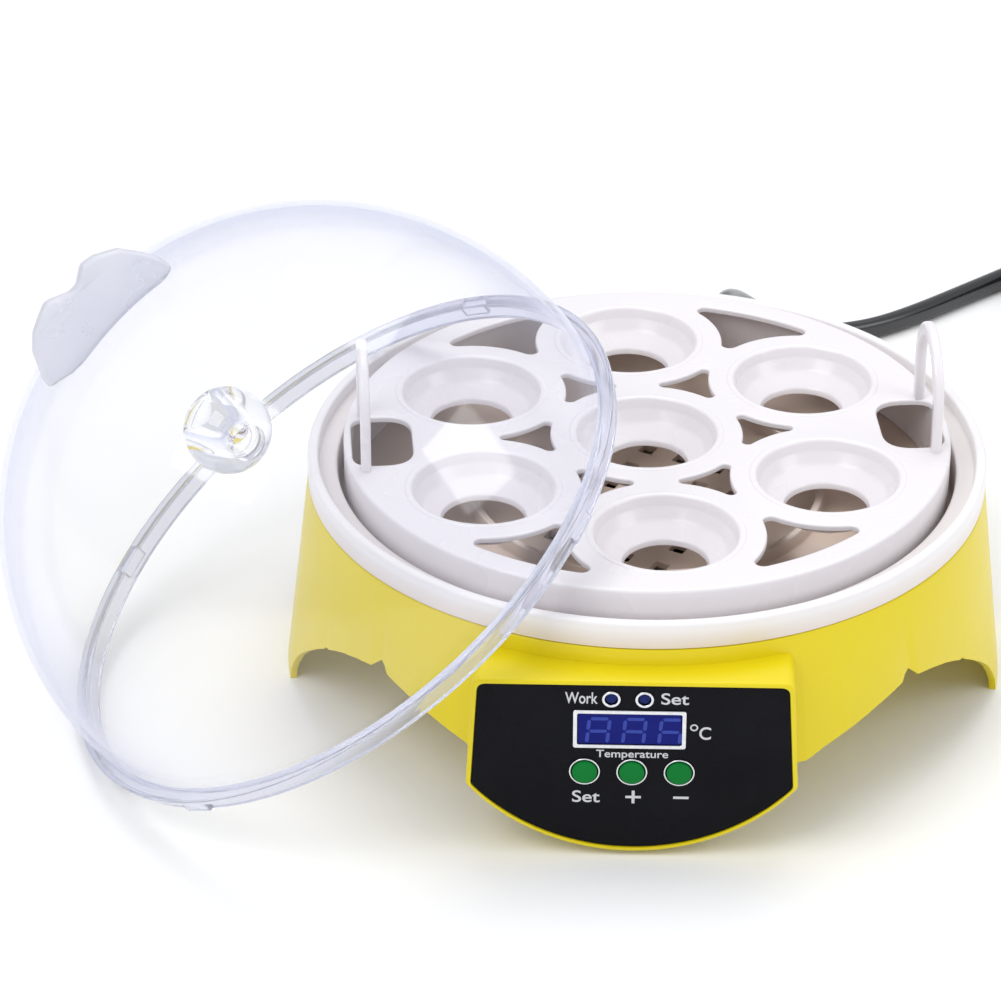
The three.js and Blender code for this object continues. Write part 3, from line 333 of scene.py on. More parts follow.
@dataclass(frozen=True)
class ClearSolid:
    """Thick clear plastic that bends light, polished or frosted."""

    name: str
    tint: Colour
    roughness: float
    transmission: float = 1.0

    def material(self) -> bpy.types.Material:
        """Makes the material.

        Returns:
            The finished material.
        """
        shader = Shader(self.name)
        cloud = shader.noise(60.0)
        body = shader.node("ShaderNodeBsdfPrincipled", None, {
            "Base Color": shader.mix_colours(cloud * 0.5, self.tint, (1.0, 1.0, 1.0)),
            "Roughness": cloud * self.roughness + self.roughness * 0.5,
            "Transmission Weight": self.transmission,
            "IOR": CLEAR_IOR,
        })
        return shader.finish(body.outputs[0])


@dataclass(frozen=True)
class GlossPanel:
    """A screen-printed black panel under a glossy film."""

    name: str
    colour: Colour
    roughness: float = 0.16
    specular: float = 0.1

    def material(self) -> bpy.types.Material:
        """Makes the material.

        Returns:
            The finished material.
        """
        shader = Shader(self.name)
        cloud = shader.noise(35.0)
        lifted = tuple(min(1.0, channel * 1.8 + 0.004) for channel in self.colour)
        body = shader.node("ShaderNodeBsdfPrincipled", None, {
            "Base Color": shader.mix_colours(cloud, self.colour, lifted),
            "Roughness": cloud * 0.1 + self.roughness,
            "Normal": shader.bump(shader.noise(1400.0, 2.0), 0.04, 0.0001),
            "Specular IOR Level": self.specular,
        })
        return shader.finish(body.outputs[0])


@dataclass(frozen=True)
class Metal:
    """Plated or drawn metal with faint brushing."""

    name: str
    colour: Colour
    roughness: float = 0.2
    brushing: float = 700.0
    wear: float = 0.15

    def material(self) -> bpy.types.Material:
        """Makes the material.

        Returns:
            The finished material.
        """
        shader = Shader(self.name)
        brushing = shader.noise(self.brushing, FINE_DETAIL)
        darker = tuple(channel * 0.75 for channel in self.colour)
        body = shader.node("ShaderNodeBsdfPrincipled", None, {
            "Base Color": shader.mix_colours(brushing, self.colour, darker),
            "Roughness": brushing * self.wear + self.roughness,
            "Metallic": 1.0,
        })
        return shader.finish(body.outputs[0])


@dataclass(frozen=True)
class LitSegment:
    """A lamp segment that glows a little, its glow varied in soft random patches."""

    name: str
    colour: Colour
    strength: float

    def material(self) -> bpy.types.Material:
        """Makes the material.

        Returns:
            The finished material.
        """
        shader = Shader(self.name)
        cloud = shader.noise(300.0)
        dim = tuple(channel * 0.6 for channel in self.colour)
        body = shader.node("ShaderNodeBsdfPrincipled", None, {
            "Base Color": (*dim, 1.0),
            "Roughness": 0.3,
            "Emission Color": shader.mix_colours(cloud, self.colour, dim),
            "Emission Strength": self.strength,
        })
        return shader.finish(body.outputs[0])


class Finish(Enum):
    """Every finish that the incubator uses."""

    YELLOW = MouldedPlastic("yellow_gloss_plastic", (0.76, 0.62, 0.006), (0.70, 0.55, 0.004),
                            roughness=0.34, coat=0.15, peel=0.05, specular=0.3)
    WHITE = MouldedPlastic("white_gloss_plastic", (0.80, 0.765, 0.785), (0.74, 0.705, 0.73),
                           roughness=0.26, coat=0.3, peel=0.05)
    # The liner's second colour is painted shade and painted warm glow, deepening towards the basin's floor.
    LINER = LinerPlasticWithPaintedShade("white_liner_plastic", (0.82, 0.795, 0.80), (0.66, 0.53, 0.44),
                             rim=0.083, floor=0.066)
    CLEAR_WALL = ClearWall("clear_dome_wall", (0.985, 0.986, 0.995), (0.55, 0.58, 0.82))
    CLEAR_RIM = ClearSolid("clear_thick_plastic", (0.80, 0.82, 0.96), roughness=0.12, transmission=0.8)
    CLEAR_BALL = ClearSolid("clear_vent_plastic", (0.94, 0.95, 1.0), roughness=0.01)
    FROSTED = ClearSolid("frosted_clear_plastic", (0.80, 0.81, 0.90), roughness=0.3, transmission=0.5)
    PANEL = GlossPanel("black_printed_panel", (0.0035, 0.0035, 0.005), roughness=0.22, specular=0.06)
    WINDOW = GlossPanel("blue_display_window", (0.003, 0.006, 0.11), roughness=0.1)
    SEGMENT = LitSegment("blue_display_segment", (0.006, 0.04, 0.42), strength=0.2)
    PRINT = MouldedPlastic("white_panel_print", (0.6, 0.6, 0.63), (0.54, 0.54, 0.57),
                           roughness=0.5, coat=0.0, peel=0.0)
    TRIM = Metal("bright_plated_trim", (0.86, 0.86, 0.88), roughness=0.14)
    BUTTON = MouldedPlastic("green_button_cap", (0.002, 0.19, 0.03), (0.001, 0.14, 0.022),
                            roughness=0.4, coat=0.0, peel=0.06, specular=0.12)
    LED = GlossPanel("dark_blue_lens", (0.006, 0.012, 0.08), roughness=0.08)
    JACKET = MouldedPlastic("black_cable_jacket", (0.008, 0.008, 0.01), (0.014, 0.014, 0.016),
                            roughness=0.24, coat=0.5, peel=0.1)
    DARK = MouldedPlastic("black_moulded_plastic", (0.02, 0.02, 0.022), (0.03, 0.03, 0.033),
                          roughness=0.45, coat=0.0)
    BOARD = MouldedPlastic("green_circuit_board", (0.02, 0.16, 0.05), (0.015, 0.11, 0.035),
                           roughness=0.4, coat=0.2)
    CERAMIC = MouldedPlastic("heater_ceramic", (0.62, 0.58, 0.50), (0.52, 0.47, 0.40),
                             roughness=0.7, coat=0.0, peel=0.2)
    STEEL = Metal("drawn_steel", (0.58, 0.58, 0.6), roughness=0.3)
    BRASS = Metal("plated_brass", (0.80, 0.62, 0.28), roughness=0.22)


class Paintbox:
    """Makes each finish once and dresses objects with it."""

    def __init__(self) -> None:
        """Starts with no material made."""
        self.made: dict[Finish, bpy.types.Material] = {}

    def material(self, finish: Finish) -> bpy.types.Material:
        """The finish's material, made once.

        Args:
            finish: which finish to give.

        Returns:
            Its material, the same one each time.
        """
        if finish not in self.made:
            self.made[finish] = finish.value.material()
        return self.made[finish]

    def dress(self, piece: bpy.types.Object, finish: Finish) -> None:
        """Gives a piece that finish alone.

        Args:
            piece: the object to dress.
            finish: its only finish.
        """
        piece.data.materials.clear()
        piece.data.materials.append(self.material(finish))


PAINT = Paintbox()

WELD = 1e-5                 # points closer than this are one, in millimetres
ON_AXIS = 1e-6              # a smaller radius stands on the axis
CORNER_REACH = 0.48         # the most of a side that one rounded corner takes
FLARE_STEPS = 5
CUT_CLEARANCE = 2.0         # how far a cutter stands above the plate it cuts


# ---------------------------------------------------------------------------------------- mesh making


def softened(points: Sequence[Point2], radii: Union[float, Sequence[float]], closed: bool,
             steps: int = 5) -> list[Point2]:
    """Rounds the corners of an outline.

    Args:
        points: the outline's corners.
        radii: the rounding, one for all or one for each corner.
        closed: whether the last corner joins the first.
        steps: straight pieces in each rounded corner.

    Returns:
        The rounded outline's points.
    """
    count = len(points)
    sizes = [radii] * count if isinstance(radii, (int, float)) else list(radii)
    made: list[Point2] = []
    for i, corner in enumerate(points):
        here = Vector(corner)
        if sizes[i] <= 0 or (not closed and i in (0, count - 1)):
            made.append(corner)
            continue
        before = Vector(points[i - 1]) - here
        after = Vector(points[(i + 1) % count]) - here
        turn = math.pi - before.angle(after)
        reach = min(sizes[i] * math.tan(turn / 2), CORNER_REACH * before.length,
                    CORNER_REACH * after.length)
        start = here + before.normalized() * reach
        end = here + after.normalized() * reach
        for k in range(steps + 1):
            t = k / steps
            place = start * (1 - t) ** 2 + here * (2 * t * (1 - t)) + end * t ** 2
            made.append((place.x, place.y))
    return made


def arc(centre: Point2, radius: float, start: float, end: float, steps: int) -> list[Point2]:
    """Points of a circular arc, with its angles in degrees.

    Args:
        centre: the circle's middle.
        radius: its radius.
        start: the first point's bearing.
        end: the last point's bearing.
        steps: how many straight pieces it has.

    Returns:
        One point more than there are steps.
    """
    turns = [math.radians(start + (end - start) * i / steps) for i in range(steps + 1)]
    return [(centre[0] + radius * math.cos(t), centre[1] + radius * math.sin(t)) for t in turns]


def polar(radius: float, degrees: float) -> Point2:
    """A point at that distance and bearing."""
    return radius * math.cos(math.radians(degrees)), radius * math.sin(math.radians(degrees))


def object_from(name: str, mesh: bpy.types.Mesh) -> bpy.types.Object:
    """Links a new object that shows the mesh.

    Args:
        name: the new object's name.
        mesh: the mesh that it shows.

    Returns:
        The new object.
    """
    made = bpy.data.objects.new(name, mesh)
    bpy.context.scene.collection.objects.link(made)
    return made


def mesh_from(name: str, build: Callable[[bmesh.types.BMesh], None]) -> bpy.types.Object:
    """Runs a builder on an empty mesh in millimetres and links the result in metres.

    Args:
        name: the new object's name.
        build: adds points and faces to the empty mesh it is given.

    Returns:
        The new object, in metres.
    """
    work = bmesh.new()
    build(work)
    bmesh.ops.remove_doubles(work, verts=work.verts, dist=WELD)
    bmesh.ops.recalc_face_normals(work, faces=work.faces)
    bmesh.ops.scale(work, vec=(MM, MM, MM), verts=work.verts)
    mesh = bpy.data.meshes.new(name)
    work.to_mesh(mesh)
    work.free()
    return object_from(name, mesh)


def lathe(name: str, profile: Sequence[Point2], facets: int = 192) -> bpy.types.Object:
    """Turns a profile of (radius, height) about Z. It closes on itself or ends on the axis.

    Args:
        name: the new object's name.
        profile: the points to turn.
        facets: how many sides the turned shape has.

    Returns:
        The new object, in metres.
    """

    def build(work: bmesh.types.BMesh) -> None:
        """Adds the rings and the faces between them.

        Args:
            work: the empty mesh.
        """
        rings = []
        for radius, height in profile:
            if radius < ON_AXIS:
                rings.append([work.verts.new((0.0, 0.0, height))])
            else:
                rings.append([work.verts.new((*polar(radius, 360 * i / facets), height))
                              for i in range(facets)])
        pairs = list(zip(rings, rings[1:]))
        if len(rings[0]) > 1 and len(rings[-1]) > 1:
            pairs.append((rings[-1], rings[0]))
        for one, two in pairs:
            for i in range(facets):
                j = (i + 1) % facets
                loop = [one[i % len(one)], one[j % len(one)], two[j % len(two)], two[i % len(two)]]
                unique = list(dict.fromkeys(loop))
                if len(unique) > 2:
                    work.faces.new(unique)

    return mesh_from(name, build)


def loft(name: str, sections: Sequence[Sequence[Point3]]) -> bpy.types.Object:
    """A closed skin through matching closed sections, with flat ends.

    Args:
        name: the new object's name.
        sections: the sections' points, all the same in number and order.

    Returns:
        The new object, in metres.
    """

    def build(work: bmesh.types.BMesh) -> None:
        """Adds the sections, the skin between them and the ends.

        Args:
            work: the empty mesh.
        """
        rows = [[work.verts.new(p) for p in section] for section in sections]
        count = len(rows[0])
        for one, two in zip(rows, rows[1:]):
            for i in range(count):
                j = (i + 1) % count
                work.faces.new((one[i], one[j], two[j], two[i]))
        work.faces.new(list(reversed(rows[0])))
        work.faces.new(rows[-1])

    return mesh_from(name, build)


def slab(name: str, outlines: Sequence[Sequence[Point2]], low: float, high: float,
         edge: float = 0.0, edge_steps: int = 3) -> bpy.types.Object:
    """A flat solid with rounded edges.

    Args:
        name: the new object's name.
        outlines: the outer outline, then one for each hole.
        low: its underside.
        high: its top.
        edge: the rounding of every edge.
        edge_steps: how finely the rounding is cut.

    Returns:
        The new object, closed and in metres.
    """
    curve = bpy.data.curves.new(name, "CURVE")
    curve.dimensions = "2D"
    curve.fill_mode = "BOTH"
    curve.extrude = ((high - low) / 2 - edge) * MM
    curve.bevel_depth = edge * MM
    curve.bevel_resolution = edge_steps
    curve.offset = -edge * MM
    for n, outline in enumerate(outlines):
        area = sum(a[0] * b[1] - b[0] * a[1] for a, b in zip(outline, [*outline[1:], outline[0]]))
        wanted = 1 if n == 0 else -1
        points = list(outline) if area * wanted > 0 else list(reversed(outline))
        spline = curve.splines.new("POLY")
        spline.points.add(len(points) - 1)
        spline.use_cyclic_u = True
        for point, (x, y) in zip(spline.points, points):
            point.co = (x * MM, y * MM, 0.0, 1.0)
    drawn = bpy.data.objects.new(name, curve)
    bpy.context.scene.collection.objects.link(drawn)
    mesh = bpy.data.meshes.new_from_object(drawn.evaluated_get(bpy.context.evaluated_depsgraph_get()))
    bpy.data.objects.remove(drawn)
    work = bmesh.new()
    work.from_mesh(mesh)
    bmesh.ops.remove_doubles(work, verts=work.verts, dist=1e-6)
    bmesh.ops.recalc_face_normals(work, faces=work.faces)
    bmesh.ops.translate(work, vec=(0.0, 0.0, (high + low) / 2 * MM), verts=work.verts)
    work.to_mesh(mesh)
    work.free()
    mesh.materials.clear()
    return object_from(name, mesh)


def flared_cutter(outline: Sequence[Point2], low: float, top: float, edge: float) -> bpy.types.Object:
    """A cutter that leaves a rounded edge round the top of its hole.

    Args:
        outline: the hole's outline, counter-clockwise.
        low: the cutter's foot.
        top: the top of the plate that it cuts.
        edge: the rounding's radius.

    Returns:
        The cutter.
    """
    count = len(outline)
    normals = []
    for i in range(count):
        along = Vector(outline[(i + 1) % count]) - Vector(outline[i - 1])
        normals.append(Vector((along.y, -along.x)).normalized())
    rows = [(low, 0.0)]
    for k in range(FLARE_STEPS + 1):
        turn = math.pi / 2 * (1 - k / FLARE_STEPS)
        rows.append((top - edge * (1 - math.cos(turn)), edge * (1 - math.sin(turn))))
    rows.append((top + CUT_CLEARANCE, edge * 1.02))
    return loft("cutter", [[(x + n.x * grow, y + n.y * grow, z) for (x, y), n in zip(outline, normals)]
                           for z, grow in rows])


def moved(piece: bpy.types.Object, matrix: Matrix) -> bpy.types.Object:
    """Moves a piece's own points, in metres, and returns it."""
    piece.data.transform(matrix)
    return piece


def shift(x: float, y: float, z: float) -> Matrix:
    """A move in millimetres."""
    return Matrix.Translation((x * MM, y * MM, z * MM))


def spin(degrees: float, axis: str = "Z") -> Matrix:
    """A turn about an axis through the origin."""
    return Matrix.Rotation(math.radians(degrees), 4, axis)


# A slab drawn in X and Y, stood up so that its Y is height and its Z points to the front.
UPRIGHT = spin(90, "X")


def combined(piece: bpy.types.Object, tool: bpy.types.Object, operation: str) -> bpy.types.Object:
    """Cuts or joins a piece with a tool, which is used up.

    Args:
        piece: the object to change.
        tool: the object that cuts or joins it.
        operation: DIFFERENCE, UNION or INTERSECT.

    Returns:
        The changed piece.
    """
    cut = piece.modifiers.new("cut", "BOOLEAN")
    cut.operation = operation
    cut.solver = "MANIFOLD"
    cut.object = tool
    baked(piece)
    bpy.data.objects.remove(tool)
    return piece


def baked(piece: bpy.types.Object) -> bpy.types.Object:
    """Applies every modifier of a piece.

    Args:
        piece: the object with the modifiers.

    Returns:
        The same object with a plain mesh.
    """
    bpy.context.view_layer.update()
    graph = bpy.context.evaluated_depsgraph_get()
    mesh = bpy.data.meshes.new_from_object(piece.evaluated_get(graph))
    piece.modifiers.clear()
    old = piece.data
    piece.data = mesh
    bpy.data.meshes.remove(old)
    return piece


def bevelled(piece: bpy.types.Object, width: float, angle: float, segments: int = 2) -> bpy.types.Object:
    """Rounds a piece's sharp edges.

    Args:
        piece: the object to round.
        width: the rounding's width.
        angle: the least angle between two faces that counts as an edge.
        segments: how finely the rounding is cut.

    Returns:
        The rounded object.
    """
    bevel = piece.modifiers.new("edges", "BEVEL")
    bevel.width = width * MM
    bevel.segments = segments
    bevel.limit_method = "ANGLE"
    bevel.angle_limit = math.radians(angle)
    return baked(piece)


def merged(name: str, parts: Iterable[bpy.types.Object]) -> bpy.types.Object:
    """Puts the meshes of several objects into one.

    Args:
        name: the new object's name.
        parts: the objects to join, which are used up.

    Returns:
        The joined object.
    """
    work = bmesh.new()
    for part in parts:
        work.from_mesh(part.data)
        bpy.data.objects.remove(part)
    mesh = bpy.data.meshes.new(name)
    work.to_mesh(mesh)
    work.free()
    return object_from(name, mesh)


def shaded(piece: bpy.types.Object, angle: float = 32.0) -> bpy.types.Object:
    """Shades a piece smoothly, with creases where its faces meet more sharply than angle.

    Args:
        piece: the object to shade.
        angle: the least angle that stays a crease.

    Returns:
        The same object.
    """
    mesh = piece.data
    mesh.polygons.foreach_set("use_smooth", [True] * len(mesh.polygons))
    mesh.set_sharp_from_angle(angle=math.radians(angle))
    return piece


def fitted(piece: bpy.types.Object, body: str, finish: Finish, slot: str, *nodes: str) -> bpy.types.Object:
    """Dresses a piece, ties it to its body and lets it stand for CAD nodes.

    Args:
        piece: the new piece.
        body: the CAD body that it moves with.
        finish: its finish.
        slot: not used.
        nodes: the CAD nodes that it replaces.

    Returns:
        The piece.
    """
    PAINT.dress(piece, finish)
    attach(piece, body)
    if nodes:
        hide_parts(*nodes)
    log.info("%s on %s: %d faces", piece.name, body, len(piece.data.polygons))
    return piece


# ---------------------------------------------------------------------------------- camera and studio


@dataclass
class StudioCamera:
    """A long lens on the incubator from above its panel."""

    azimuth: float = 1.7
    elevation: float = 30.449
    distance: float = 1500.0
    target: Point3 = (-51.705, 0.0, 62.032)
    lens: float = 150.9

    def build(self) -> None:
        """Places the scene's camera."""
        turn, rise = math.radians(self.azimuth), math.radians(self.elevation)
        back = Vector((math.sin(turn) * math.cos(rise), -math.cos(turn) * math.cos(rise), math.sin(rise)))
        data = bpy.data.cameras.new("camera")
        data.lens = self.lens
        data.clip_end = 50.0
        camera = bpy.data.objects.new("camera", data)
        camera.location = (Vector(self.target) + back * self.distance) * MM
        camera.rotation_euler = back.to_track_quat("Z", "Y").to_euler()
        bpy.context.scene.collection.objects.link(camera)
        bpy.context.scene.camera = camera


@dataclass
class Studio:
    """A pale floor, a bright room and soft lamps."""

    floor_size: float = 12.0
    floor_colour: Colour = (0.9, 0.9, 0.905)
    room_colour: Colour = (0.95, 0.97, 1.0)
    room_strength: float = 0.78
    aim: Point3 = (0.0, 0.0, 0.08)

    def build(self) -> None:
        """Makes the floor, the room's light and the lamps."""
        self._floor()
        self._room()
        self._lamp("key_lamp", (-1.0, -1.0, 1.7), 1.2, 15.0)
        self._lamp("side_lamp", (1.5, -0.5, 1.1), 0.9, 6.0)
        self._lamp("top_lamp", (0.1, 0.7, 1.9), 1.2, 12.0)

    def _floor(self) -> None:
        """A plain pale floor that reaches out of sight."""
        half = self.floor_size / 2

        def build(work: bmesh.types.BMesh) -> None:
            """Adds the floor's one face."""
            corners = [(-1, -1), (1, -1), (1, 1), (-1, 1)]
            work.faces.new([work.verts.new((x * half / MM, y * half / MM, 0.0)) for x, y in corners])

        floor = mesh_from("floor", build)
        shader = Shader("floor_paper")
        body = shader.node("ShaderNodeBsdfPrincipled", None, {
            "Base Color": (*self.floor_colour, 1.0), "Roughness": 0.85})
        floor.data.materials.append(shader.finish(body.outputs[0]))

    def _room(self) -> None:
        """An even, bright room."""
        world = bpy.data.worlds.new("room")
        world.use_nodes = True
        background = world.node_tree.nodes["Background"]
        background.inputs["Color"].default_value = (*self.room_colour, 1.0)
        background.inputs["Strength"].default_value = self.room_strength
        bpy.context.scene.world = world
        bpy.context.scene.view_settings.view_transform = "Standard"

    def _lamp(self, name: str, place: Point3, size: float, power: float) -> None:
        """A square soft lamp aimed at the middle of the base.

        Args:
            name: the lamp's name.
            place: where it hangs, in metres.
            size: its side, in metres.
            power: its power, in watts.
        """
        data = bpy.data.lights.new(name, "AREA")
        data.size = size
        data.energy = power
        lamp = bpy.data.objects.new(name, data)
        lamp.location = place
        lamp.rotation_euler = (Vector(place) - Vector(self.aim)).to_track_quat("Z", "Y").to_euler()
        bpy.context.scene.collection.objects.link(lamp)


# -------------------------------------------------------------------------------------------- the lead


@dataclass
class MainsLead:
    """The gland, the mains lead with its coil, and the plug."""

    diameter: float = 9.0
    lobe_radius: float = 3.3
    lobe_offset: float = 1.2
    route: tuple[Point3, ...] = (
        (27.1, 153.6, 53.2), (27.5, 155.9, 53.2), (30.8, 174.0, 51.5), (35.5, 190.5, 44.5),
        (42.5, 205.0, 33.0), (51.5, 217.5, 21.0), (63.0, 227.0, 11.0), (78.0, 234.5, 6.0),
        (96.0, 243.0, 4.8), (114.0, 256.0, 4.7), (132.0, 271.5, 4.7), (150.0, 287.3, 4.7),
        (162.2, 298.1, 4.7),
    )
    coil_centre: Point2 = (226.8, 275.4)
    outer_turn: float = 59.2
    turn_pitch: float = 9.2
    turns: float = 2.0
    layers: tuple[float, float] = (4.7, 13.9)
    plug: Point3 = (286.0, 223.2, 8.2)
    plug_length: float = 34.0
    gland_turn: float = 80.0
    gland_height: float = 53.2
    gland_tip: float = 158.0
    gland_wall: float = 124.65
    gland_ribs: int = 6
    turn_steps: int = 36
    climb: float = 0.18
    pitch: float = 3.0
    easing: int = 6

    def build(self) -> None:
        gland = self._gland()
        path = self._path()
        cord = self._cord(path)
        plug, pins = self._plug()
        exit_point = tuple(v * MM for v in path[0])
        [tuple(v * MM for v in p) for p in path]

    def _spiral(self, start_turn: float) -> list[Point3]:
        """The coil: in along the lower layer, up at the inside, and out again along the upper layer.

        Args:
            start_turn: the bearing at which the lead joins the coil.

        Returns:
            The coil's middle line.
        """
        total = 2 * self.turns
        count = round(total * self.turn_steps)
        points = []
        for i in range(count + 1):
            turn = i / self.turn_steps
            inward = turn if turn <= self.turns else total - turn
            radius = self.outer_turn - self.turn_pitch * inward
            t = min(1.0, max(0.0, (turn - self.turns + self.climb) / (2 * self.climb)))
            height = self.layers[0] + (self.layers[1] - self.layers[0]) * t * t * (3 - 2 * t)
            x, y = polar(radius, start_turn - 360 * turn)
            points.append((self.coil_centre[0] + x, self.coil_centre[1] + y, height))
        return points

    def _path(self) -> list[Point3]:
        """The lead's whole middle line, evenly fine, from the gland to the plug.

        Returns:
            The middle line's points, evenly spaced.
        """
        heading = Vector(self.route[-1]) - Vector(self.route[-2])
        entry = math.degrees(math.atan2(heading.y, heading.x)) + 90
        coil = self._spiral(entry)
        leaving = math.radians(entry - 720 * self.turns)
        knots = [Vector(p) for p in self.route]
        smooth = self._catmull(knots, 8)
        extra = math.ceil((math.degrees(leaving) % 360) / (360 / self.turn_steps))
        tail = []
        for i in range(1, extra + 1):
            turn = i / self.turn_steps
            x, y = polar(self.outer_turn + 0.6 * i / extra, math.degrees(leaving) - 360 * turn)
            if math.degrees(leaving) % 360 - 360 * turn < 1:
                break
            tail.append((self.coil_centre[0] + x, self.coil_centre[1] + y, self.layers[1]))
        end_y = self.plug[1] + self.plug_length / 2 - 6
        side = self.coil_centre[0] + self.outer_turn + 0.4
        run = self.coil_centre[1] - end_y
        for i in range(0, 13):
            t = i / 12
            drop = min(1.0, max(0.0, (t - 0.3) / 0.55))
            height = self.layers[1] + (self.plug[2] - self.layers[1]) * drop * drop * (3 - 2 * drop)
            tail.append((side + (self.plug[0] - side) * t, self.coil_centre[1] - run * t, height))
        joined = [tuple(p) for p in smooth] + coil + tail
        return self._evened(joined)

    @staticmethod
    def _catmull(knots: Sequence[Vector], steps: int) -> list[Vector]:
        """A smooth line through every knot.

        Args:
            knots: the points to pass through.
            steps: points added for each span.

        Returns:
            The smooth line's points.
        """
        made = []
        ends = [2 * knots[0] - knots[1], *knots, 2 * knots[-1] - knots[-2]]
        for a, b, c, d in zip(ends, ends[1:], ends[2:], ends[3:]):
            for i in range(steps):
                t = i / steps
                made.append(0.5 * (2 * b + (c - a) * t + (2 * a - 5 * b + 4 * c - d) * t * t
                                   + (3 * b - a - 3 * c + d) * t ** 3))
        return [*made, knots[-1]]

    def _evened(self, points: Sequence[Point3]) -> list[Point3]:
        """The same line with its points a fixed distance apart, its small kinks eased.

        Args:
            points: the line as it was drawn.

        Returns:
            The line's new points.
        """
        line = [Vector(p) for p in points]
        kept = [line[0]]
        carried = 0.0
        for one, two in zip(line, line[1:]):
            span = (two - one).length
            while carried + span >= self.pitch:
                one = one + (two - one) * ((self.pitch - carried) / span)
                kept.append(one)
                span = (two - one).length
                carried = 0.0
            carried += span
        kept.append(line[-1])
        for _ in range(self.easing):
            kept = [kept[0], *[(a + 2 * b + c) / 4 for a, b, c in zip(kept, kept[1:], kept[2:])], kept[-1]]
        return [tuple(p) for p in kept]

    def _section(self) -> list[Point2]:
        """The twin-core jacket's outline: two lobes with a soft groove between them.

        Returns:
            The outline, across and up.
        """
        waist = math.degrees(math.acos(self.lobe_offset / self.lobe_radius))
        upper = arc((0.0, self.lobe_offset), self.lobe_radius, -90 + waist, 270 - waist, 9)
        lower = arc((0.0, -self.lobe_offset), self.lobe_radius, 90 + waist, 450 - waist, 9)
        return [*upper, *lower]

    def _cord(self, path: Sequence[Point3]) -> bpy.types.Object:
        """The jacket, swept along the path with its lobes one above the other.

        Args:
            path: the lead's middle line.

        Returns:
            The lead, dressed and fitted.
        """
        points = [Vector(p) for p in path]
        section = self._section()
        sections = []
        for i, here in enumerate(points):
            ahead = (points[min(i + 1, len(points) - 1)] - points[max(i - 1, 0)]).normalized()
            side = ahead.cross(Vector((0.0, 0.0, 1.0))).normalized()
            up = side.cross(ahead)
            sections.append([tuple(here + side * x + up * y) for x, y in section])
        cord = shaded(loft("mains_lead", sections), 60)
        return fitted(cord, "base", Finish.JACKET, "cord_black", "power_cord", "cord_coil")

    def _gland(self) -> bpy.types.Object:
        """The tapered strain relief, ribbed along its length.

        Returns:
            The strain relief, dressed and fitted.
        """
        wall = self.gland_wall
        corners = [(0.0, wall - 5), (4.5, wall - 5), (4.5, wall + 0.3), (7.4, wall + 0.3), (7.4, wall + 3),
                   (6.5, wall + 4)]
        radii = [0.0, 0.3, 0.0, 0.8, 1.0, 0.5]
        first, last = wall + 5.5, self.gland_tip - 2.5
        for i in range(self.gland_ribs):
            low = first + (last - first) * i / self.gland_ribs
            high = first + (last - first) * (i + 0.62) / self.gland_ribs
            size = 6.35 - 1.1 * i / self.gland_ribs
            corners += [(size, low), (size - 0.1, high), (size - 0.75, high + 0.5), (size - 0.8, high + 1.6)]
            radii += [0.4, 0.4, 0.2, 0.2]
        corners += [(5.0, self.gland_tip), (0.0, self.gland_tip)]
        radii += [0.6, 0.0]
        gland = lathe("strain_relief", softened(corners, radii, False, 3), 48)
        moved(gland, spin(self.gland_turn) @ shift(0, 0, self.gland_height) @ spin(90, "Y"))
        return fitted(shaded(gland), "base", Finish.JACKET, "cord_black", "cord_gland")

    def _plug(self) -> tuple[bpy.types.Object, list[bpy.types.Object]]:
        """The moulded plug, with finger grooves, and its two pins.

        Returns:
            The plug and its two pins, dressed and fitted.
        """
        x, y, z = self.plug
        half = self.plug_length / 2
        corners = [(x - 12.4, y - half), (x + 12.4, y - half), (x + 12.4, y - half + 9), (x + 6.2, y + half),
                   (x - 6.2, y + half), (x - 12.4, y - half + 9)]
        body = slab("plug", [softened(corners, [2.5, 2.5, 5, 2.5, 2.5, 5], True)], z - 7.8, z + 7.8, 2.2, 4)
        body = fitted(shaded(body), "base", Finish.JACKET, "cord_black", "plug_body")
        pins = []
        for name, side in (("a", -9.5), ("b", 9.5)):
            profile = softened([(0.0, 0.0), (2.0, 0.0), (2.0, 19.0), (0.0, 19.0)], [0, 0.1, 1.2, 0], False, 4)
            pin = lathe(f"plug_pin_round_{name}", profile, 32)
            moved(pin, shift(x + side, y - half - 0.3, z) @ spin(90, "X"))
            pins.append(fitted(shaded(pin), "base", Finish.BRASS, "brass", f"plug_pin_{name}"))
        return body, pins


# ---------------------------------------------------------------------------------------- the base


@dataclass
class PanelOutline:
    """The control panel's outline: flat top, straight sides and a shallow bottom arc."""

    centre: float = -4.0
    half_top: float = 51.4
    half_side: float = 53.8
    top: float = 68.4
    side_foot: float = 28.5
    foot: float = 3.8
    corner: float = 3.2

    def points(self, grow: float, steps: int = 48) -> list[Point2]:
        """The outline in X and height, grown outwards.

        Args:
            grow: how far the outline is grown.
            steps: how finely the bottom arc is cut.

        Returns:
            The outline's points.
        """
        half, low = self.half_side + grow, self.foot - grow
        sagitta = self.side_foot - low
        radius = (half * half + sagitta * sagitta) / (2 * sagitta)
        spread = math.degrees(math.asin(half / radius))
        bottom = arc((self.centre, low + radius), radius, -90 - spread, -90 + spread, steps)
        top_half = self.half_top + grow
        corners = [(self.centre + top_half, self.top + grow), (self.centre - top_half, self.top + grow)]
        outline = [*bottom, *corners]
        radii = [3.0] + [0.0] * (len(bottom) - 2) + [3.0] + [self.corner] * 2
        return softened(outline, radii, True, 6)


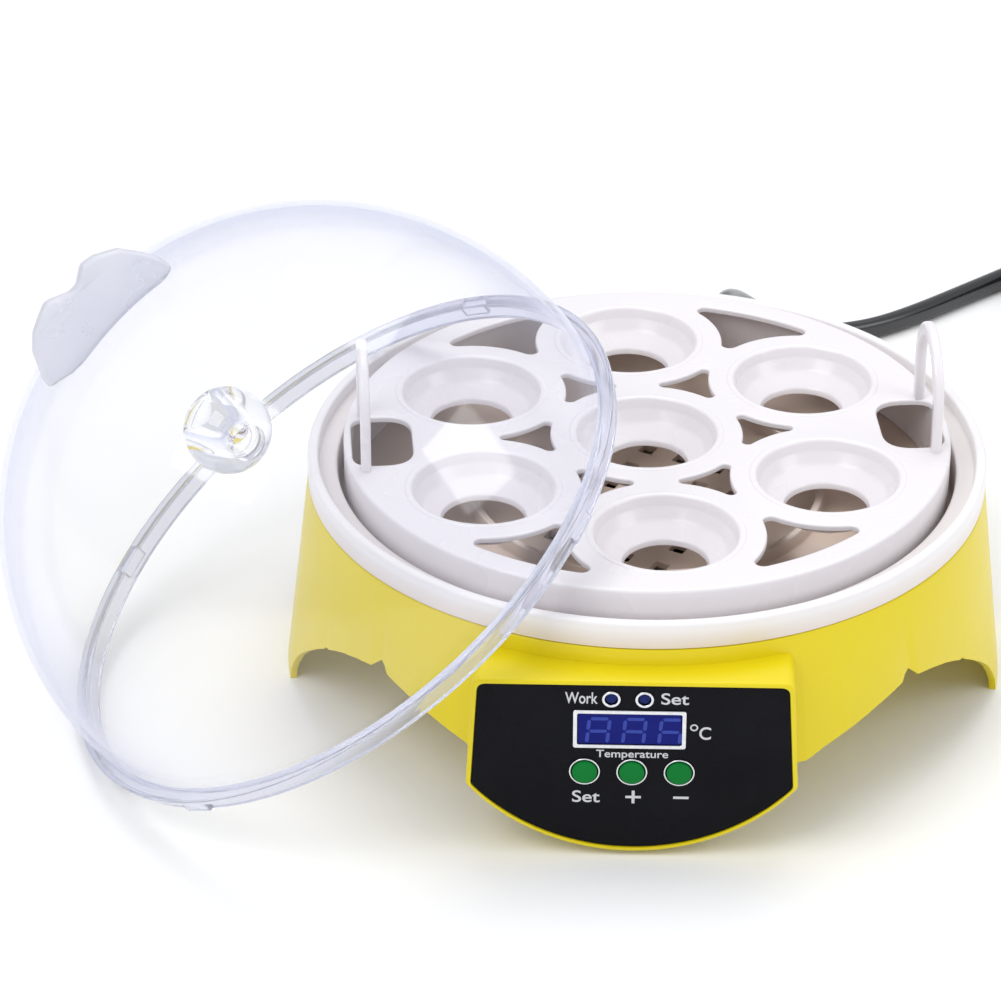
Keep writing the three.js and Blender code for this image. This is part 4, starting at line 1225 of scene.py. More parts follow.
@dataclass
class BaseShell:
    """The flared yellow shell with its four arches and the panel's housing."""

    top_radius: float = 120.0
    foot_radius: float = 129.0
    top: float = 76.0
    wall: float = 2.4
    flange_low: float = 48.5
    flange_reach: float = 3.0
    housing_front: float = 130.5
    pocket_depth: float = 2.1
    facets: int = 240
    cut_reach: float = 14.0
    cut_step: float = 1.5
    cut_front: float = 140.0
    under_span: Point2 = (-63.8, 55.8)
    under_back: float = 64.0
    bay_span: Point2 = (-56.0, 48.0)
    bay_top: float = 66.5
    bay_depths: Point2 = (66.0, 129.0)
    side_foot: float = 28.5
    bore_radius: float = 5.0
    bore_turn: float = 80.0
    bore_height: float = 53.2
    housing_wall: float = 1.8
    pocket_gap: float = 0.25
    edge: tuple[Point2, ...] = (
        (9.0, -1.0), (10.4, 4.0), (12.2, 9.5), (14.6, 15.2), (17.5, 20.5), (20.6, 25.4), (23.8, 30.0),
        (26.4, 33.4), (27.3, 35.2), (28.4, 35.4), (30.4, 37.4), (33.0, 39.6), (37.0, 41.9), (40.8, 43.3),
        (42.5, 46.6), (43.3, 47.8), (44.0, 46.4), (44.7, 43.6), (50.0, 40.0), (56.0, 35.4), (61.0, 31.6),
        (63.8, 28.6), (65.0, 26.0), (65.5, -1.0),
    )

    def radius(self, height: float) -> float:
        """The outside radius at a height."""
        return self.top_radius + (self.top - height) * (self.foot_radius - self.top_radius) / self.top

    def _shell(self) -> bpy.types.Object:
        """The plain flared wall with the flange inside it.

        Returns:
            The wall with its flange.
        """
        heights = (self.top, self.flange_low + 2, self.flange_low, 0.0)
        inner = [(self.radius(z) - self.wall, z) for z in heights]
        flange = [(radius - self.flange_reach, height) for radius, height in inner[1:3]]
        corners = [(self.foot_radius, 0.0), (self.radius(self.top), self.top), inner[0], inner[1], *flange,
                   inner[2], inner[3]]
        radii = [0.5, 0.9, 0.3, 0.3, 0.3, 0.3, 0.3, 0.5]
        return lathe("yellow_shell", softened(corners, radii, True, 3), self.facets)

    def _arch(self, start: float, way: int) -> bpy.types.Object:
        """A cutter below the cracked edge, bent round the axis.

        Args:
            start: the bearing of the side foot that it starts from.
            way: 1 to run anticlockwise from it, -1 to run clockwise.

        Returns:
            The cutter.
        """
        stations: list[Point2] = []
        for (turn_a, high_a), (turn_b, high_b) in zip(self.edge, self.edge[1:]):
            steps = max(1, math.ceil(abs(turn_b - turn_a) / self.cut_step))
            stations += [(turn_a + (turn_b - turn_a) * i / steps, high_a + (high_b - high_a) * i / steps)
                         for i in range(steps)]
        stations.append((self.edge[-2][0] + 0.2, self.edge[-2][1]))
        sections = []
        for turn, height in stations[1:]:
            near = polar(self.top_radius - self.cut_reach, start + way * turn)
            far = polar(self.foot_radius + self.cut_reach, start + way * turn)
            top = max(height, -0.5)
            sections.append([(*near, -3.0), (*far, -3.0), (*far, top), (*near, top)])
        return loft("arch_cutter", sections)

    def _inside(self) -> bpy.types.Object:
        """The space inside the wall, as a solid.

        Returns:
            The solid.
        """
        low, high = -4.0, self.top + 4
        profile = [(0.0, low), (self.radius(low) - self.wall, low), (self.radius(high) - self.wall, high),
                   (0.0, high)]
        return lathe("inside", profile, self.facets)

    def _housing(self, outline: PanelOutline) -> bpy.types.Object:
        """The housing's block, trimmed to the inside of the wall.

        Args:
            outline: the panel's outline.

        Returns:
            The trimmed block.
        """
        back = self.housing_front / 2
        block = slab("housing", [outline.points(self.housing_wall)], back, self.housing_front, 0.9, 4)
        moved(block, UPRIGHT)
        return combined(block, self._inside(), "DIFFERENCE")

    def build(self) -> None:
        """Makes the whole shell."""
        outline = PanelOutline()
        shell = self._shell()
        for start in (0, 180):
            for way in (1, -1):
                combined(shell, self._arch(start, way), "DIFFERENCE")
        bevelled(shell, 0.45, 50)
        left, right = self.under_span
        below = [(left, -3.0), (right, -3.0), (right, self.side_foot), (left, self.side_foot)]
        under = slab("under", [below], self.under_back, self.cut_front)
        moved(under, UPRIGHT)
        combined(shell, under, "DIFFERENCE")
        combined(shell, self._housing(outline), "UNION")
        pocket_back = self.housing_front - self.pocket_depth
        pocket = slab("pocket", [outline.points(self.pocket_gap)], pocket_back, self.cut_front)
        combined(shell, moved(pocket, UPRIGHT), "DIFFERENCE")
        left, right = self.bay_span
        room = [(left, self.side_foot), (right, self.side_foot), (right - 2, self.bay_top),
                (left + 2, self.bay_top)]
        bay = slab("bay", [softened(room, 2, True)], *self.bay_depths)
        combined(shell, moved(bay, UPRIGHT), "DIFFERENCE")
        bore = lathe("bore", [(0, 104), (self.bore_radius, 104), (self.bore_radius, 134), (0, 134)], 32)
        moved(bore, spin(self.bore_turn) @ shift(0, 0, self.bore_height) @ spin(90, "Y"))
        combined(shell, bore, "DIFFERENCE")
        fitted(shaded(shell, 35), "base", Finish.YELLOW, "yellow_plastic", "base_shell")


@dataclass
class Liner:
    """The white band, the lid's seat, the basin and its vented floor."""

    band: float = 120.0
    top: float = 86.0
    facets: int = 240
    vent_pitch: float = 14.0
    vent_size: float = 5.6
    vent_turn: float = -28.0
    vent_field: float = 55.0
    boss_turns: tuple[float, ...] = (35.0, 145.0, 215.0, 325.0)
    boss_pitch: float = 96.0

    def _profile(self) -> list[Point2]:
        """The liner's outline from the floor's middle out to the band and back underneath.

        Returns:
            The rounded outline's points.
        """
        corners = [
            (0, 66), (60, 66), (60.6, 71), (63.2, 71), (63.8, 66), (108.5, 66), (109.5, 81), (116, 81),
            (116.2, self.top), (self.band, self.top), (self.band, 76.3), (117.6, 76.3), (117.6, 78.6), (111.9, 78.6), (110.9, 63.6),
            (0, 63.6),
        ]
        radii = [0, 1, 0.8, 0.8, 1, 4, 1.2, 0.8, 1.3, 1.6, 0.4, 0.3, 0.3, 0.5, 3, 0]
        return softened(corners, radii, False, 6)

    def _vents(self) -> bpy.types.Object:
        """Every square vent of the floor, as one cutter.

        Returns:
            The cutter.
        """
        cutters = []
        reach = math.ceil(self.vent_field / self.vent_pitch)
        half = self.vent_size / 2
        for i in range(-reach, reach + 1):
            for j in range(-reach, reach + 1):
                x, y = i * self.vent_pitch, j * self.vent_pitch
                if math.hypot(x, y) < self.vent_field:
                    square = softened([(x - half, y - half), (x + half, y - half), (x + half, y + half),
                                       (x - half, y + half)], 0.6, True, 3)
                    cutters.append(slab("vent", [square], 60, 70))
        return moved(merged("vents", cutters), spin(self.vent_turn))

    def build(self) -> None:
        """Makes the liner with its bosses."""
        liner = lathe("white_liner", self._profile(), self.facets)
        combined(liner, self._vents(), "DIFFERENCE")
        for turn in self.boss_turns:
            boss = lathe("boss", softened([(1.3, 48.5), (4, 48.5), (4, 63.8), (1.3, 63.8)], 0.2, True, 2), 32)
            combined(liner, moved(boss, shift(*polar(self.boss_pitch, turn), 0)), "UNION")
        fitted(shaded(liner), "base", Finish.LINER, "white_plastic", "liner")


# ---------------------------------------------------------------------------------------- the tray


@dataclass
class EggTray:
    """The seven-cup tray with its cut-outs and two lifting loops."""

    top: float = 91.0
    radius: float = 107.2
    foot: float = 66.3
    turn: float = 5.5
    cup_pitch: float = 69.2
    cup_radius: float = 24.8
    cup_depth: float = 12.0
    cup_hole: float = 14.3
    plate: float = 2.0
    facets: int = 240
    loop_pitch: float = 100.0
    loop_height: float = 38.0
    loop_half: float = 19.5
    loop_width: float = 5.0
    loop_thick: float = 3.6
    inner_holes: int = 6
    outer_hole_turns: tuple[float, ...] = (60.0, 120.0, 240.0, 300.0)
    loop_turns: tuple[float, ...] = (0.0, 180.0)
    hole_edge: float = 0.8

    def _cups(self) -> list[Point2]:
        """Where the seven cups stand."""
        return [(0.0, 0.0), *[polar(self.cup_pitch, 30 + 60 * i) for i in range(6)]]

    def _between(self, centres: Sequence[Point2], rounding: float, setback: float) -> list[Point2]:
        """A hole with hollow sides between three cups, with round corners.

        Args:
            centres: the middles of the three cups, in order round the hole.
            rounding: the corners' radius.
            setback: how far each corner's tip stays from the line between two cups.

        Returns:
            The hole's outline.
        """
        middle = sum((Vector(c) for c in centres), Vector((0.0, 0.0))) / 3
        points: list[Point2] = []
        for i in range(3):
            one, two, three = (Vector(centres[(i + k) % 3]) for k in range(3))
            corner = self._corner(one, two, middle, rounding, setback)
            nxt = self._corner(two, three, middle, rounding, setback)
            points += self._round_corner(corner, one, two, rounding)
            points += self._hollow(two, corner, nxt, rounding)
        return points

    @staticmethod
    def _corner(one: Vector, two: Vector, middle: Vector, rounding: float, setback: float) -> Vector:
        """The centre of a corner's circle.

        Args:
            one: the middle of the first cup.
            two: the middle of the second cup.
            middle: the middle of the hole.
            rounding: the corner's radius.
            setback: how far the corner's tip stays from the line between the cups.

        Returns:
            The circle's centre.
        """
        half = (one + two) / 2
        return half + (middle - half).normalized() * (setback + rounding)

    @staticmethod
    def _bearing(start: Vector, end: Vector) -> float:
        """The bearing from one point to another, in degrees."""
        return math.degrees(math.atan2(end.y - start.y, end.x - start.x))

    def _round_corner(self, corner: Vector, one: Vector, two: Vector, rounding: float) -> list[Point2]:
        """The convex arc of a corner, from the side of one cup to the side of the next.

        Args:
            corner: the centre of the corner's circle.
            one: the middle of the first cup.
            two: the middle of the second cup.
            rounding: the corner's radius.

        Returns:
            The arc's points.
        """
        start, end = self._bearing(corner, one), self._bearing(corner, two)
        away = (end - start + 180) % 360 - 180
        return arc(tuple(corner), rounding, start, start + away, 8)

    def _hollow(self, cup: Vector, start: Vector, end: Vector, rounding: float) -> list[Point2]:
        """The concave side that follows a cup.

        Args:
            cup: the cup's middle.
            start: the centre of the corner before it.
            end: the centre of the corner after it.
            rounding: the corners' radius.

        Returns:
            The arc's points, without its two ends.
        """
        size = (start - cup).length - rounding
        first, last = self._bearing(cup, start), self._bearing(cup, end)
        swing = (last - first + 180) % 360 - 180
        return arc(tuple(cup), size, first, first + swing, 14)[1:-1]

    def _outer_hole(self, turn: float) -> list[Point2]:
        """A large hole between two outer cups and the tray's edge.

        Args:
            turn: the bearing of the hole's middle.

        Returns:
            The hole's outline.
        """
        rim, rounding, reach = 98.0, 2.8, 34.3
        cups = [Vector(polar(self.cup_pitch, turn + way * 30)) for way in (1, -1)]
        inner = Vector(polar(math.sqrt((reach + rounding) ** 2 - (self.cup_pitch / 2) ** 2)
                             + self.cup_pitch * math.cos(math.radians(30)), turn))
        span = rim - rounding
        angle = math.degrees(math.acos((span ** 2 + self.cup_pitch ** 2 - (reach + rounding) ** 2)
                                       / (2 * span * self.cup_pitch)))
        corners = [Vector(polar(span, turn + way * (30 - angle))) for way in (1, -1)]
        points = self._round_corner(inner, cups[1], cups[0], rounding)
        points += self._hollow(cups[0], inner, corners[0], rounding)
        half = 30 - angle
        out = turn + half
        start = self._bearing(corners[0], cups[0])
        points += arc(tuple(corners[0]), rounding, start, start + (out - start + 180) % 360 - 180, 8)
        points += arc((0.0, 0.0), rim, turn + half, turn - half, 16)[1:-1]
        end = self._bearing(corners[1], cups[1])
        out = turn - half
        points += arc(tuple(corners[1]), rounding, out, out + (end - out + 180) % 360 - 180, 8)
        points += self._hollow(cups[1], corners[1], inner, rounding)
        return points

    def _keyhole(self, turn: float) -> list[Point2]:
        """The opening inside a lifting loop.

        Args:
            turn: the bearing of the loop.

        Returns:
            The opening's outline.
        """
        corners = [(83, -17), (104.4, -17), (104.4, 17), (83, 17)]
        outline = softened(corners, [16, 7, 7, 16], True, 8)
        angle = math.radians(turn)
        return [(x * math.cos(angle) - y * math.sin(angle), x * math.sin(angle) + y * math.cos(angle))
                for x, y in outline]

    def _bowl(self) -> bpy.types.Object:
        """A cup: a soft raised lip, a hollow and an open bottom.

        Returns:
            The cup, at the middle of the tray.
        """
        top, low = self.top, self.top - self.cup_depth
        corners = [
            (self.cup_radius + 3.0, top - 0.6), (self.cup_radius + 2.4, top + 0.35),
            (self.cup_radius + 0.2, top + 0.3), (self.cup_radius - 1.2, top - 3.5),
            (self.cup_radius - 3.8, top - 7.6), (self.cup_hole + 0.6, low + 0.2),
            (self.cup_hole, low - 2.0), (self.cup_hole + 1.6, low - 2.0),
            (self.cup_radius - 1.8, top - 9.4), (self.cup_radius + 1.0, top - 4.0),
        ]
        radii = [0.3, 1.6, 2.4, 4.0, 5.0, 1.6, 0.5, 0.5, 3.0, 1.0]
        return lathe("cup", softened(corners, radii, True, 5), 128)

    def _loop(self) -> bpy.types.Object:
        """A lifting loop standing on the tray.

        Returns:
            The loop, on the tray's right.
        """
        outer, inner = self.loop_half + self.loop_width / 2, self.loop_half - self.loop_width / 2
        leg = self.loop_height - outer
        points = [(outer, -1.0), *arc((0.0, leg), outer, 0, 180, 36), (-outer, -1.0), (-inner, -1.0),
                  *arc((0.0, leg), inner, 180, 0, 32), (inner, -1.0)]
        loop = slab("loop", [points], -self.loop_thick / 2, self.loop_thick / 2, 1.2, 4)
        return moved(loop, shift(self.loop_pitch, 0, self.top) @ spin(90, "Z") @ UPRIGHT)

    def _holes(self) -> list[list[Point2]]:
        """Every hole of the plate, counter-clockwise.

        Returns:
            The outline of each hole.
        """
        holes = [arc(c, self.cup_radius + 1.2, 0, 360, 96)[:-1] for c in self._cups()]
        for i in range(self.inner_holes):
            centres = [(0.0, 0.0), polar(self.cup_pitch, 60 * i - 30), polar(self.cup_pitch, 60 * i + 30)]
            holes.append(self._between(centres, 1.9, 8.0))
        holes += [self._outer_hole(turn) for turn in self.outer_hole_turns]
        holes += [self._keyhole(turn) for turn in self.loop_turns]
        ordered = []
        for hole in holes:
            area = sum(a[0] * b[1] - b[0] * a[1] for a, b in zip(hole, [*hole[1:], hole[0]]))
            ordered.append(hole if area > 0 else hole[::-1])
        return ordered

    def build(self) -> None:
        """Makes the tray."""
        inside = self.radius - 2
        plate = self.top - self.plate
        corners = [(0, self.top), (self.radius, self.top), (self.radius, self.foot), (inside, self.foot),
                   (inside, plate), (0, plate)]
        tray = lathe("white_egg_tray", softened(corners, [0, 1.3, 0.5, 0.5, 0.8, 0], False, 6), self.facets)
        for outline in self._holes():
            combined(tray, flared_cutter(outline, self.top - 6, self.top, self.hole_edge), "DIFFERENCE")
        for x, y in self._cups():
            combined(tray, moved(self._bowl(), shift(x, y, 0)), "UNION")
        for turn in self.loop_turns:
            combined(tray, moved(self._loop(), spin(turn)), "UNION")
        moved(tray, spin(self.turn))
        fitted(shaded(tray), "tray", Finish.WHITE, "white_plastic", "egg_tray")


# ----------------------------------------------------------------------------------------- the lid


@dataclass
class DomeLid:
    """The clear dome with its flange, lugs, comb and vent ball, leaning on its lip."""

    foot: Point2 = (-192.9, -63.7)
    lean: float = 35.2
    bearing: float = 14.0
    lip_radius: float = 112.65
    lip_drop: float = 5.5
    rim_radius: float = 114.65
    half_flange: float = 1.25
    dome: float = 110.8
    rise: float = 12.0
    wall: float = 2.2
    vent_radius: float = 14.3
    vent_reach: float = 111.0
    vent_bore: float = 6.0
    vent_polar: float = 38.5
    vent_bearing: float = -80.0
    bore_polar: float = 98.2
    bore_bearing: float = -68.1
    socket_gap: float = 0.05
    lug_turns: tuple[float, ...] = (45.0, 135.0, 225.0, 315.0)
    comb_turn: float = 16.0
    comb_shift: float = -7.8
    comb_wave: float = 0.9
    facets: int = 256

    def _seat(self) -> Matrix:
        """From the lid's own frame to where it leans.

        Returns:
            The move, for meshes in metres.
        """
        return (shift(*self.foot, 0) @ spin(self.bearing) @ spin(-self.lean, "Y")
                @ shift(self.lip_radius, 0, self.lip_drop))

    def _dome_arc(self, radius: float, rows: int, start: float) -> list[Point2]:
        """A dome's profile, from a height on its skirt up to the axis.

        Args:
            radius: the ball's radius.
            rows: how many straight pieces the arc has.
            start: the height of the skirt's foot.

        Returns:
            The profile's points.
        """
        turns = [math.pi / 2 * i / rows for i in range(rows + 1)]
        upper = [(radius * math.cos(t), self.rise + radius * math.sin(t)) for t in turns[:-1]]
        return [(radius, start), *upper, (0.0, self.rise + radius * math.sin(turns[-1]))]

    def _vent_place(self) -> Point3:
        """The middle of the vent ball, in the lid's own frame.

        Returns:
            The ball's middle, in the lid's own frame.
        """
        polar_turn = math.radians(self.vent_polar)
        reach = self.vent_reach * math.sin(polar_turn)
        return (*polar(reach, self.vent_bearing), self.rise + self.vent_reach * math.cos(polar_turn))

    def _ball(self, radius: float) -> bpy.types.Object:
        """A ball at the vent.

        Args:
            radius: the ball's radius.

        Returns:
            The ball.
        """
        rows = 40
        profile = [(radius * math.sin(math.pi * i / rows) if 0 < i < rows else 0.0,
                    -radius * math.cos(math.pi * i / rows)) for i in range(rows + 1)]
        return moved(lathe("ball", profile, 80), shift(*self._vent_place()))

    def build(self) -> None:
        """Makes the dome's wall, its rim, the comb and the vent ball."""
        seat = self._seat()
        start = self.half_flange - 0.2
        outside = self._dome_arc(self.dome, 40, start)
        inside = self._dome_arc(self.dome - self.wall, 40, start)
        wall = [*outside, *reversed(inside)]
        dome = lathe("clear_dome", wall, self.facets)
        combined(dome, self._ball(self.vent_radius - self.socket_gap), "DIFFERENCE")
        fitted(shaded(moved(dome, seat), 50), "lid", Finish.CLEAR_WALL, "clear_plastic", "dome_lid")
        fitted(shaded(moved(self._rim(), seat)), "lid", Finish.CLEAR_RIM, "clear_plastic")
        fitted(shaded(moved(self._comb(), seat), 40), "lid", Finish.FROSTED, "clear_plastic")
        ball = self._ball(self.vent_radius)
        x, y, z = self._vent_place()
        bore = lathe("bore", [(0, -30), (self.vent_bore, -30), (self.vent_bore, 30), (0, 30)], 64)
        aimed = spin(self.bore_bearing) @ spin(self.bore_polar, "Y")
        combined(ball, moved(bore, shift(x, y, z) @ aimed), "DIFFERENCE")
        bevelled(ball, 0.7, 35, 4)
        ball.name = "vent_ball"
        fitted(shaded(moved(ball, seat)), "vent_ball", Finish.CLEAR_BALL, "clear_plastic", "vent_knob")

    def _rim(self) -> bpy.types.Object:
        """The flange and the lip below it, with four lugs.

        Returns:
            The rim, in the lid's own frame.
        """
        inner = self.dome - self.wall
        lip, edge = self.lip_radius - 0.2, self.rim_radius - 0.2
        corners = [(inner, self.half_flange - 0.2), (inner, -self.lip_drop), (lip, -self.lip_drop),
                   (lip, -self.half_flange), (edge, -self.half_flange), (edge, self.half_flange),
                   (self.dome + 0.1, self.half_flange)]
        rim = lathe("clear_rim", softened(corners, [0.2, 0.6, 0.8, 0.4, 1.0, 1.0, 0.3], True, 4), self.facets)
        for turn in self.lug_turns:
            outline = softened([(112, -6), (114.2, -6), (114.2, 6), (112, 6)], 0.6, True, 3)
            lug = slab("lug", [outline], -4.4, -0.7, 0.3)
            combined(rim, moved(lug, spin(turn)), "UNION")
        return rim

    def _comb(self) -> bpy.types.Object:
        """The wavy comb on top of the dome.

        Returns:
            The comb, in the lid's own frame.
        """
        top = self.rise + self.dome
        outline = [(-28.4, 1.6), (-24.8, 11.2), (-20.2, 16.6), (-14, 20), (-10.4, 21.3), (-6.6, 19.2),
                   (-2.4, 17.6), (0.6, 17.7), (3.9, 20.6), (6.4, 22.6), (11.6, 21.2), (19.2, 16.6),
                   (24.8, 9.3), (27.4, 3.9), (29, -1.5), (20, -4), (-20, -4), (-29, -2)]
        shape = softened([(x, top + y) for x, y in outline], 4.0, True, 4)
        comb = slab("comb", [shape], -2.2, 2.2, 1.4, 4)
        for vert in comb.data.vertices:
            lift = max(0.0, vert.co.y / MM - top) / 22
            vert.co.z += lift * self.comb_wave * MM * math.sin(vert.co.x / MM * 0.28)
        moved(comb, spin(self.comb_turn) @ shift(self.comb_shift, 0, 0) @ UPRIGHT)
        inner = lathe("under_dome", [(0.0, -10.0), (self.dome - 1.2, -10.0),
                                     *self._dome_arc(self.dome - 1.2, 32, self.rise)[1:]], 160)
        combined(comb, inner, "DIFFERENCE")
        comb.name = "frosted_comb"
        return comb


# ----------------------------------------------------------------------------------- the control panel


@dataclass
class ControlPanel:
    """The black panel with its print, lamps, display and three buttons."""

    front: float = 130.0
    thickness: float = 1.6
    centre: float = -4.0
    display: Point2 = (-5.0, 51.3)
    display_size: Point2 = (37.6, 15.0)
    display_frame: float = 1.4
    button_height: float = 34.4
    button_spacing: float = 15.8
    lamp_height: float = 63.2
    lamp_offsets: tuple[float, float] = (-7.2, 3.8)
    digit_pitch: float = 12.0
    digit_shift: float = 1.6
    print_sink: float = 0.02

    def _facing(self, piece: bpy.types.Object) -> bpy.types.Object:
        """Stands a piece drawn flat at its place on the panel."""
        return moved(piece, UPRIGHT)

    def _box(self, width: float, height: float, corner: float) -> list[Point2]:
        """A rounded rectangle at the display's place.

        Args:
            width: its full width.
            height: its full height.
            corner: its corners' radius.

        Returns:
            The outline's points.
        """
        x, z = self.display
        half_w, half_h = width / 2, height / 2
        corners = [(x - half_w, z - half_h), (x + half_w, z - half_h), (x + half_w, z + half_h),
                   (x - half_w, z + half_h)]
        return softened(corners, corner, True, 5)

    def build(self) -> None:
        """Makes everything on the panel."""
        self._plate()
        self._display()
        for name, offset in zip(("work", "set"), self.lamp_offsets):
            self._lamp(name, self.centre + offset)
        for name, place in (("set", -1), ("plus", 0), ("minus", 1)):
            self._button(name, self.centre + place * self.button_spacing)
        self._print()

    def _plate(self) -> None:
        """The panel itself, with its cut-outs."""
        inset = 2 * self.display_frame
        holes = [self._box(self.display_size[0] - inset, self.display_size[1] - inset, 0.8)]
        for offset in self.lamp_offsets:
            holes.append(arc((self.centre + offset, self.lamp_height), 2.4, 0, 360, 40)[:-1])
        for place in (-1, 0, 1):
            middle = (self.centre + place * self.button_spacing, self.button_height)
            holes.append(arc(middle, 4.6, 0, 360, 56)[:-1])
        plate = slab("black_panel", [PanelOutline().points(0.0), *holes], self.front - self.thickness,
                     self.front, 0.25)
        fitted(shaded(self._facing(plate)), "base", Finish.PANEL, "black_gloss", "control_panel")

    def _display(self) -> None:
        """The silver frame, the dark window and three digits."""
        width, height = self.display_size
        inset = 2 * self.display_frame
        outlines = [self._box(width, height, 1.0), self._box(width - inset, height - inset, 0.6)]
        ring = slab("display_bezel", outlines, self.front, self.front + 0.7, 0.25)
        fitted(shaded(self._facing(ring)), "base", Finish.TRIM, "silver_trim", "display_frame")
        window = slab("display_glass", [self._box(width - 3.2, height - 3.2, 0.6)],
                      self.front - self.thickness, self.front + 0.2, 0.1)
        fitted(shaded(self._facing(window)), "base", Finish.WINDOW, "display_blue", "display_window")
        parts = []
        for i, lit in ((-1, "abcefg"), (0, "abcefg"), (1, "acefg")):
            parts += self._digit(self.display[0] + self.digit_shift + i * self.digit_pitch, lit)
        fitted(shaded(self._facing(merged("display_digits", parts))), "base", Finish.SEGMENT, "display_blue")

    def _digit(self, x: float, lit: str) -> list[bpy.types.Object]:
        """A digit's lit segments, leaning a little.

        Args:
            x: the digit's middle.
            lit: its segments: a top, b and c upper and lower right, e and f lower and upper left, g middle.

        Returns:
            One slab for each segment.
        """
        half_w, half_h, thick, slant = 3.4, 4.9, 0.62, 0.09
        quarter = half_h / 2
        spots = {"a": (0.0, half_h, 0), "g": (0.0, 0.0, 0), "f": (-half_w, quarter, 90),
                 "b": (half_w, quarter, 90), "e": (-half_w, -quarter, 90), "c": (half_w, -quarter, 90)}
        made = []
        for dx, dz, turn in (spots[key] for key in lit):
            half = (half_w if turn == 0 else half_h / 2) - 0.35
            flat = [(-half, 0), (-half + thick, thick), (half - thick, thick), (half, 0),
                    (half - thick, -thick), (-half + thick, -thick)]
            points = [(dx + (a if turn == 0 else b), dz + (b if turn == 0 else a)) for a, b in flat]
            shape = [(x + a + b * slant, self.display[1] - 0.9 + b) for a, b in points]
            made.append(slab("segment", [shape], self.front + 0.19, self.front + 0.28))
        return made

    def _lamp(self, name: str, x: float) -> None:
        """An indicator lamp in its silver ring.

        Args:
            name: work or set.
            x: its middle.
        """
        profile = softened([(2.2, 0), (3.1, 0), (3.1, 0.8), (2.2, 0.8)], 0.3, True, 4)
        ring = lathe(f"lamp_bezel_{name}", profile, 56)
        self._mount(ring, x, self.lamp_height)
        fitted(shaded(ring), "base", Finish.TRIM, "silver_trim", f"led_ring_{name}")
        lens = lathe(f"lamp_lens_{name}", softened([(0, -8.0), (2.0, -8.0), (2.0, 0.0), (0.0, 0.35)],
                                                   [0, 0.2, 0.4, 0], False, 4), 48)
        self._mount(lens, x, self.lamp_height)
        fitted(shaded(lens), "base", Finish.LED, "display_blue", f"led_{name}")

    def _mount(self, piece: bpy.types.Object, x: float, z: float) -> None:
        """Turns a lathed piece to the front and puts it on the panel's face.

        Args:
            piece: the piece to move.
            x: its middle.
            z: its middle's height.
        """
        moved(piece, shift(x, -self.front, z) @ spin(90, "X"))

    def _button(self, name: str, x: float) -> None:
        """A green button in its silver ring.

        Args:
            name: set, plus or minus.
            x: its middle.
        """
        outline = softened([(4.6, 0), (5.2, 0), (5.2, 0.8), (4.6, 0.8)], 0.25, True, 4)
        ring = lathe(f"button_bezel_{name}", outline, 72)
        self._mount(ring, x, self.button_height)
        fitted(shaded(ring), "base", Finish.TRIM, "silver_trim", f"button_ring_{name}")
        back = -self.thickness
        profile = [(0, back - 2.5), (1.5, back - 2.5), (1.5, back - 1.3), (5.2, back - 1.3),
                   (5.2, back - 0.35), (4.2, back - 0.35), (4.2, 1.55), (2.4, 1.88), (0, 1.9)]
        radii = [0, 0.2, 0.1, 0.2, 0.2, 0.1, 0.7, 2.0, 0]
        cap = lathe(f"green_button_{name}", softened(profile, radii, False, 5), 72)
        self._mount(cap, x, self.button_height)
        fitted(shaded(cap), f"{name}_key", Finish.BUTTON, "button_green", f"button_{name}")

    def _print(self) -> None:
        """The panel's white lettering and signs."""
        words = (("work_word", "Work", -21.1, 63.3, 10.8, 4.5),
                 ("set_lamp_word", "Set", 9.9, 63.4, 9.2, 4.5),
                 ("temperature_word", "Temperature", -4.0, 40.9, 24.0, 3.9),
                 ("celsius_word", "C", 20.1, 50.0, 3.9, 5.0),
                 ("set_button_word", "Set", -19.2, 24.0, 9.3, 4.7))
        for name, text, x, z, width, height in words:
            self._word(name, text, x, z, width, height)
        circles = [arc((16.4, 52.2), radius, 0, 360, 32)[:-1] for radius in (1.35, 0.85)]
        degree = slab("degree_sign", circles, self.front - self.print_sink, self.front + 0.06)
        fitted(self._facing(degree), "base", Finish.PRINT, "black_gloss")
        for name, x, upright in (("plus_sign", -3.4, True), ("minus_sign", 12.6, False)):
            bars = [slab("bar", [[(x - 2.6, 23.55), (x + 2.6, 23.55), (x + 2.6, 24.5), (x - 2.6, 24.5)]],
                         self.front - self.print_sink, self.front + 0.06)]
            if upright:
                post = [(x - 0.5, 21.5), (x + 0.5, 21.5), (x + 0.5, 26.6), (x - 0.5, 26.6)]
                bars.append(slab("bar", [post], self.front - self.print_sink, self.front + 0.07))
            fitted(self._facing(merged(name, bars)), "base", Finish.PRINT, "black_gloss")

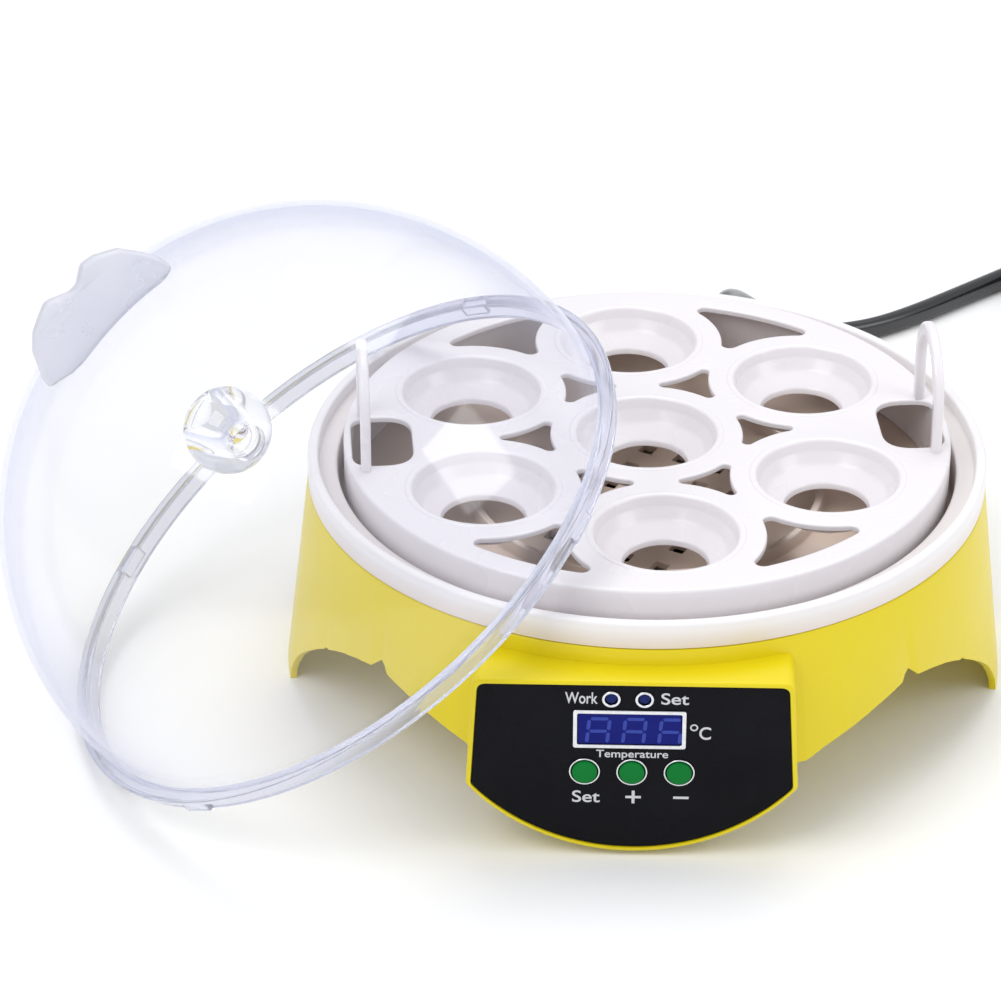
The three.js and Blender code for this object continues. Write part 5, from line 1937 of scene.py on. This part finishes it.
    def _word(self, name: str, text: str, x: float, z: float, width: float, height: float) -> None:
        """One printed word.

        Args:
            name: the piece's name.
            text: the word.
            x: its middle.
            z: its middle's height.
            width: its full width.
            height: its full height.
        """
        curve = bpy.data.curves.new(name, "FONT")
        curve.body = text
        curve.extrude = 0.02
        curve.offset = 0.011
        drawn = bpy.data.objects.new(name, curve)
        bpy.context.scene.collection.objects.link(drawn)
        mesh = bpy.data.meshes.new_from_object(drawn.evaluated_get(bpy.context.evaluated_depsgraph_get()))
        bpy.data.objects.remove(drawn)
        places = [vert.co for vert in mesh.vertices]
        left, right = min(p.x for p in places), max(p.x for p in places)
        low, high = min(p.y for p in places), max(p.y for p in places)
        centred = Matrix.Translation((-(left + right) / 2, -(low + high) / 2, 0.0))
        scaled = Matrix.Diagonal((width * MM / (right - left), height * MM / (high - low), 2 * MM, 1.0))
        word = object_from(name, mesh)
        moved(word, shift(x, -self.front - self.print_sink, z) @ spin(90, "X") @ scaled @ centred)
        fitted(word, "base", Finish.PRINT, "black_gloss")


# --------------------------------------------------------------------------------- what the frame keeps


@dataclass
class Workings:
    """The CAD parts that are shown as they are, with their finishes."""

    finishes: tuple[tuple[Finish, tuple[str, ...]], ...] = (
        (Finish.YELLOW, ("bottom_cover",)),
        (Finish.DARK, ("display_module", "switch_set", "switch_plus", "switch_minus", "fan_frame",
                       "fan_rotor")),
        (Finish.BOARD, ("control_board", "power_board")),
        (Finish.CERAMIC, ("heater_ring",)),
        (Finish.STEEL, ("temperature_sensor", "cover_screw_1", "cover_screw_2", "cover_screw_3",
                        "cover_screw_4")),
    )

    def build(self) -> None:
        """Gives each node its finish and leaves its mesh alone."""
        for finish, names in self.finishes:
            for name in names:
                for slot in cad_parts[name].material_slots:
                    slot.material = PAINT.material(finish)
                log.info("%s dressed", name)


def main() -> None:
    """Builds the camera, the lead, the incubator and the studio."""
    logging.basicConfig(level=logging.INFO, format="%(message)s")
    for part in (StudioCamera(), MainsLead(), BaseShell(), Liner(), EggTray(), DomeLid(), ControlPanel(),
                 Workings(), Studio()):
        part.build()
        log.info("%s built", type(part).__name__)


if __name__ == "__main__":
    main()
